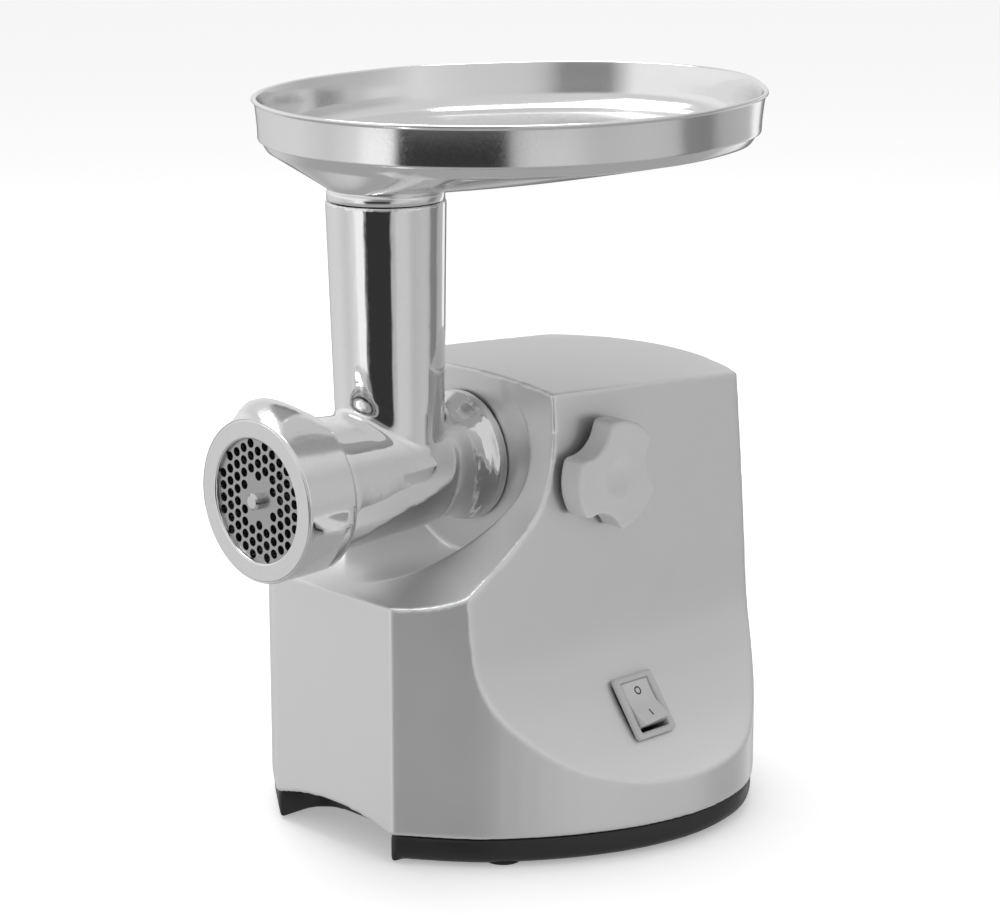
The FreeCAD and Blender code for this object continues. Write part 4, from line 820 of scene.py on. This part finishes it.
# length, width, corner radius and height of each level, over the flange and down into the well
frame_levels = [(FRAME_LONG - 0.4, FRAME_WIDE - 0.4, 1.6, FRAME_LOW),
                (FRAME_LONG, FRAME_WIDE, 1.8, FRAME_LOW + 0.3),
                (FRAME_LONG, FRAME_WIDE, 1.8, FRAME_HIGH - 1.0),
                (FRAME_LONG - 0.3, FRAME_WIDE - 0.3, 1.7, FRAME_HIGH - 0.4),
                (FRAME_LONG - 1.2, FRAME_WIDE - 1.2, 1.4, FRAME_HIGH),
                (WELL_LONG + 1.6, WELL_WIDE + 1.6, 1.2, FRAME_HIGH),
                (WELL_LONG + 0.5, WELL_WIDE + 0.5, 0.9, FRAME_HIGH - 0.25),
                (WELL_LONG, WELL_WIDE, 0.7, FRAME_HIGH - 0.9),
                (WELL_LONG, WELL_WIDE, 0.7, WELL_DEEP)]
# and back up the outside of the body below the flange
outer_levels = [(WELL_LONG + 1.9, WELL_WIDE + 2.8, 0.9, z) for z in (WELL_DEEP, FRAME_LOW)]
frame_rings = [[on_panel @ p for p in rounded_oblong(*level)] for level in frame_levels + outer_levels]
bezel = turned("switch_bezel", frame_rings)
fit(bezel, pale_moulding, "base", "grey_plastic")

rock_now = on_panel @ Matrix.Translation((0, 0, PIVOT_DROP)) @ Matrix.Rotation(ROCKER_TILT, 4, "Y")
rock_now = rock_now @ Matrix.Translation((0, 0, -PIVOT_DROP))


def rocker_top(x):
    """Height of the rocker's two slightly hollow pads."""
    t = abs(x) / ROCKER_HALF
    return 3.0 + 2.0 * t ** 1.35


ROCKER_STEPS = 24
form = bmesh.new()
# the top's six lines along the rocker, from one rounded side edge to the other
across = [(-ROCKER_WIDE / 2, 0.5), (-ROCKER_WIDE / 2 + 0.15, 0.15), (-ROCKER_WIDE / 2 + 0.5, 0.0),
          (ROCKER_WIDE / 2 - 0.5, 0.0), (ROCKER_WIDE / 2 - 0.15, 0.15), (ROCKER_WIDE / 2, 0.5)]
lengthwise = [-ROCKER_HALF + 2 * ROCKER_HALF * k / ROCKER_STEPS for k in range(ROCKER_STEPS + 1)]
grid = [[form.verts.new((x, y, rocker_top(x) - drop)) for x in lengthwise] for y, drop in across]
for a, b in zip(grid, grid[1:]):
    for k in range(ROCKER_STEPS):
        form.faces.new((a[k], a[k + 1], b[k + 1], b[k]))
skirt = []
for line, side in ((grid[0], -1), (grid[-1], 1)):
    low = []
    for v in line:
        depth = -2.0 - 4.0 * (1 - (v.co.x / ROCKER_HALF) ** 2)
        low.append(form.verts.new((v.co.x * 0.97, side * ROCKER_WIDE / 2, depth)))
    skirt.append(low)
    for k in range(ROCKER_STEPS):
        form.faces.new((line[k], line[k + 1], low[k + 1], low[k]))
for k in range(ROCKER_STEPS):
    form.faces.new((skirt[0][k], skirt[0][k + 1], skirt[1][k + 1], skirt[1][k]))
for k in (0, ROCKER_STEPS):
    form.faces.new([line[k] for line in grid] + [skirt[1][k], skirt[0][k]])
bmesh.ops.recalc_face_normals(form, faces=form.faces)
form.transform(rock_now)
rocker = stand_up("rocker", form)
pale_rocker = moulding("pale_rocker", (0.58, 0.58, 0.58), (0.64, 0.64, 0.64), 0.26, 0.36, depth=0.00001)
fit(rocker, pale_rocker, "rocker", "grey_plastic", "switch_rocker")
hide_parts("switch_frame")

MARK_THICK = 0.12
MARK_SINK = 0.03
MARK_STEPS = 40
OFF_MARK_X = -6.0
OFF_MARK_IN = 1.35
OFF_MARK_OUT = 2.0
ON_MARK_X = 6.2
mark_ink = moulding("mark_ink", (0.02, 0.02, 0.02), (0.03, 0.03, 0.03), 0.4, 0.5)


def on_rocker(x, y, z):
    """A point of a printed mark, laid on the rocker's hollow pads."""
    return rock_now @ Vector((x, y, z - MARK_SINK + rocker_top(x)))


ring_mark = []
for r, z in ((OFF_MARK_IN, 0.0), (OFF_MARK_OUT, 0.0), (OFF_MARK_OUT, MARK_THICK), (OFF_MARK_IN, MARK_THICK)):
    turns = [2 * math.pi * k / MARK_STEPS for k in range(MARK_STEPS)]
    ring_mark.append([on_rocker(OFF_MARK_X + r * math.cos(a), r * math.sin(a), z) for a in turns])
off_mark = turned("off_mark", ring_mark)
fit(off_mark, mark_ink, "rocker", "grey_plastic")
bar_points = [rounded_oblong(3.6, 0.75, 0.3, z, 3) for z in (0.0, MARK_THICK)]
form = bmesh.new()
levels = [[form.verts.new(on_rocker(ON_MARK_X + p.x, p.y, p.z)) for p in ring] for ring in bar_points]
for i in range(len(levels[0])):
    j = (i + 1) % len(levels[0])
    form.faces.new((levels[0][i], levels[0][j], levels[1][j], levels[1][i]))
form.faces.new(levels[1])
form.faces.new(list(reversed(levels[0])))
on_mark = stand_up("on_mark", form)
fit(on_mark, mark_ink, "rocker", "grey_plastic")

# ------------------------------------------------------------------ castings inside the body
# Die-cast socket ring, gearbox, brackets and motor cradle, left as cast. They are screwed or
# bolted together and to the housing.
as_cast = rubbed_metal("as_cast_alloy", (0.50, 0.50, 0.50), 0.50, 0.08, (700, 700, 700), 0.00006)
dress_parts(as_cast, "socket_ring", "gearbox_case", "gearbox_cover", "bearing_bracket", "rear_bracket",
            "motor_cradle")

# ------------------------------------------------------------------ shafts, bearings and lock screw
# Ground round steel bar, pressed or slid into the castings. The ball bearings' rings have the
# same finish.
shaft_steel = rubbed_metal("shaft_steel", (0.58, 0.58, 0.58), 0.22, 0.04, (400, 3000, 400), 0.000008)
dress_parts(shaft_steel, "lock_screw", "output_shaft", "output_key", "intermediate_shaft", "motor_shaft",
            "switch_pivot_pin", "motor_bearings")

# ------------------------------------------------------------------ gears
# Hobbed steel gears and pinions, lightly oiled. They are keyed or pressed on their shafts and
# step the motor's speed down in two stages.
oiled_steel = rubbed_metal("oiled_gear_steel", (0.40, 0.39, 0.37), 0.28, 0.06, (900, 2500, 900), 0.00001)
dress_parts(oiled_steel, "output_gear", "intermediate_gear", "intermediate_pinion", "motor_pinion")

# ------------------------------------------------------------------ screws and bolts
# Zinc-plated steel screws that hold the base, the socket ring and the gearbox, and the motor's
# long through bolts.
zinc_plate = polished_metal("zinc_plate", (0.66, 0.67, 0.69), 0.28, 0.06, 300.0, 0.00005)
dress_parts(zinc_plate, "base_screws", "socket_ring_screws", "gearbox_screws", "motor_bolts")

# ------------------------------------------------------------------ bushes, holders and terminals
# Sintered bushes and stamped brass holders and terminals, pressed into the castings and the
# back of the switch.
soft_brass = rubbed_metal("soft_brass", (0.72, 0.54, 0.26), 0.34, 0.06, (1200, 1200, 1200), 0.00002)
dress_parts(soft_brass, "output_bushes", "intermediate_bushes", "switch_terminals", "brush_holders")

# ------------------------------------------------------------------ motor cores
# Stacks of thin steel sheets, varnished, whose edges show as fine lines across the axis.
sheet_stack = rubbed_metal("sheet_stack", (0.26, 0.26, 0.27), 0.45, 0.06, (60, 5200, 60), 0.00006)
dress_parts(sheet_stack, "stator_core", "armature_core")

# ------------------------------------------------------------------ windings, commutator and springs
# Enamelled copper wire laid side by side, and bright copper bars and springs.
wound_copper = rubbed_metal("wound_copper", (0.62, 0.26, 0.12), 0.30, 0.06, (2600, 300, 2600), 0.0001)
dress_parts(wound_copper, "field_coils", "armature_windings", "commutator", "brush_springs")

# ------------------------------------------------------------------ carbon brushes and filter parts
# Pressed carbon blocks, and the mains filter's board with its capacitor, choke and cut-out.
pressed_carbon = moulding("pressed_carbon", (0.02, 0.02, 0.02), (0.04, 0.04, 0.04), 0.55, 0.70, grain=1500.0)
dress_parts(pressed_carbon, "carbon_brushes")
board_resin = moulding("board_resin", (0.04, 0.20, 0.09), (0.06, 0.26, 0.12), 0.35, 0.45, grain=1800.0)
dress_parts(board_resin, "filter_board")
dark_casing = moulding("dark_casing", (0.05, 0.05, 0.06), (0.08, 0.08, 0.10), 0.35, 0.5)
dress_parts(dark_casing, "filter_capacitor", "filter_choke", "thermal_cutout")
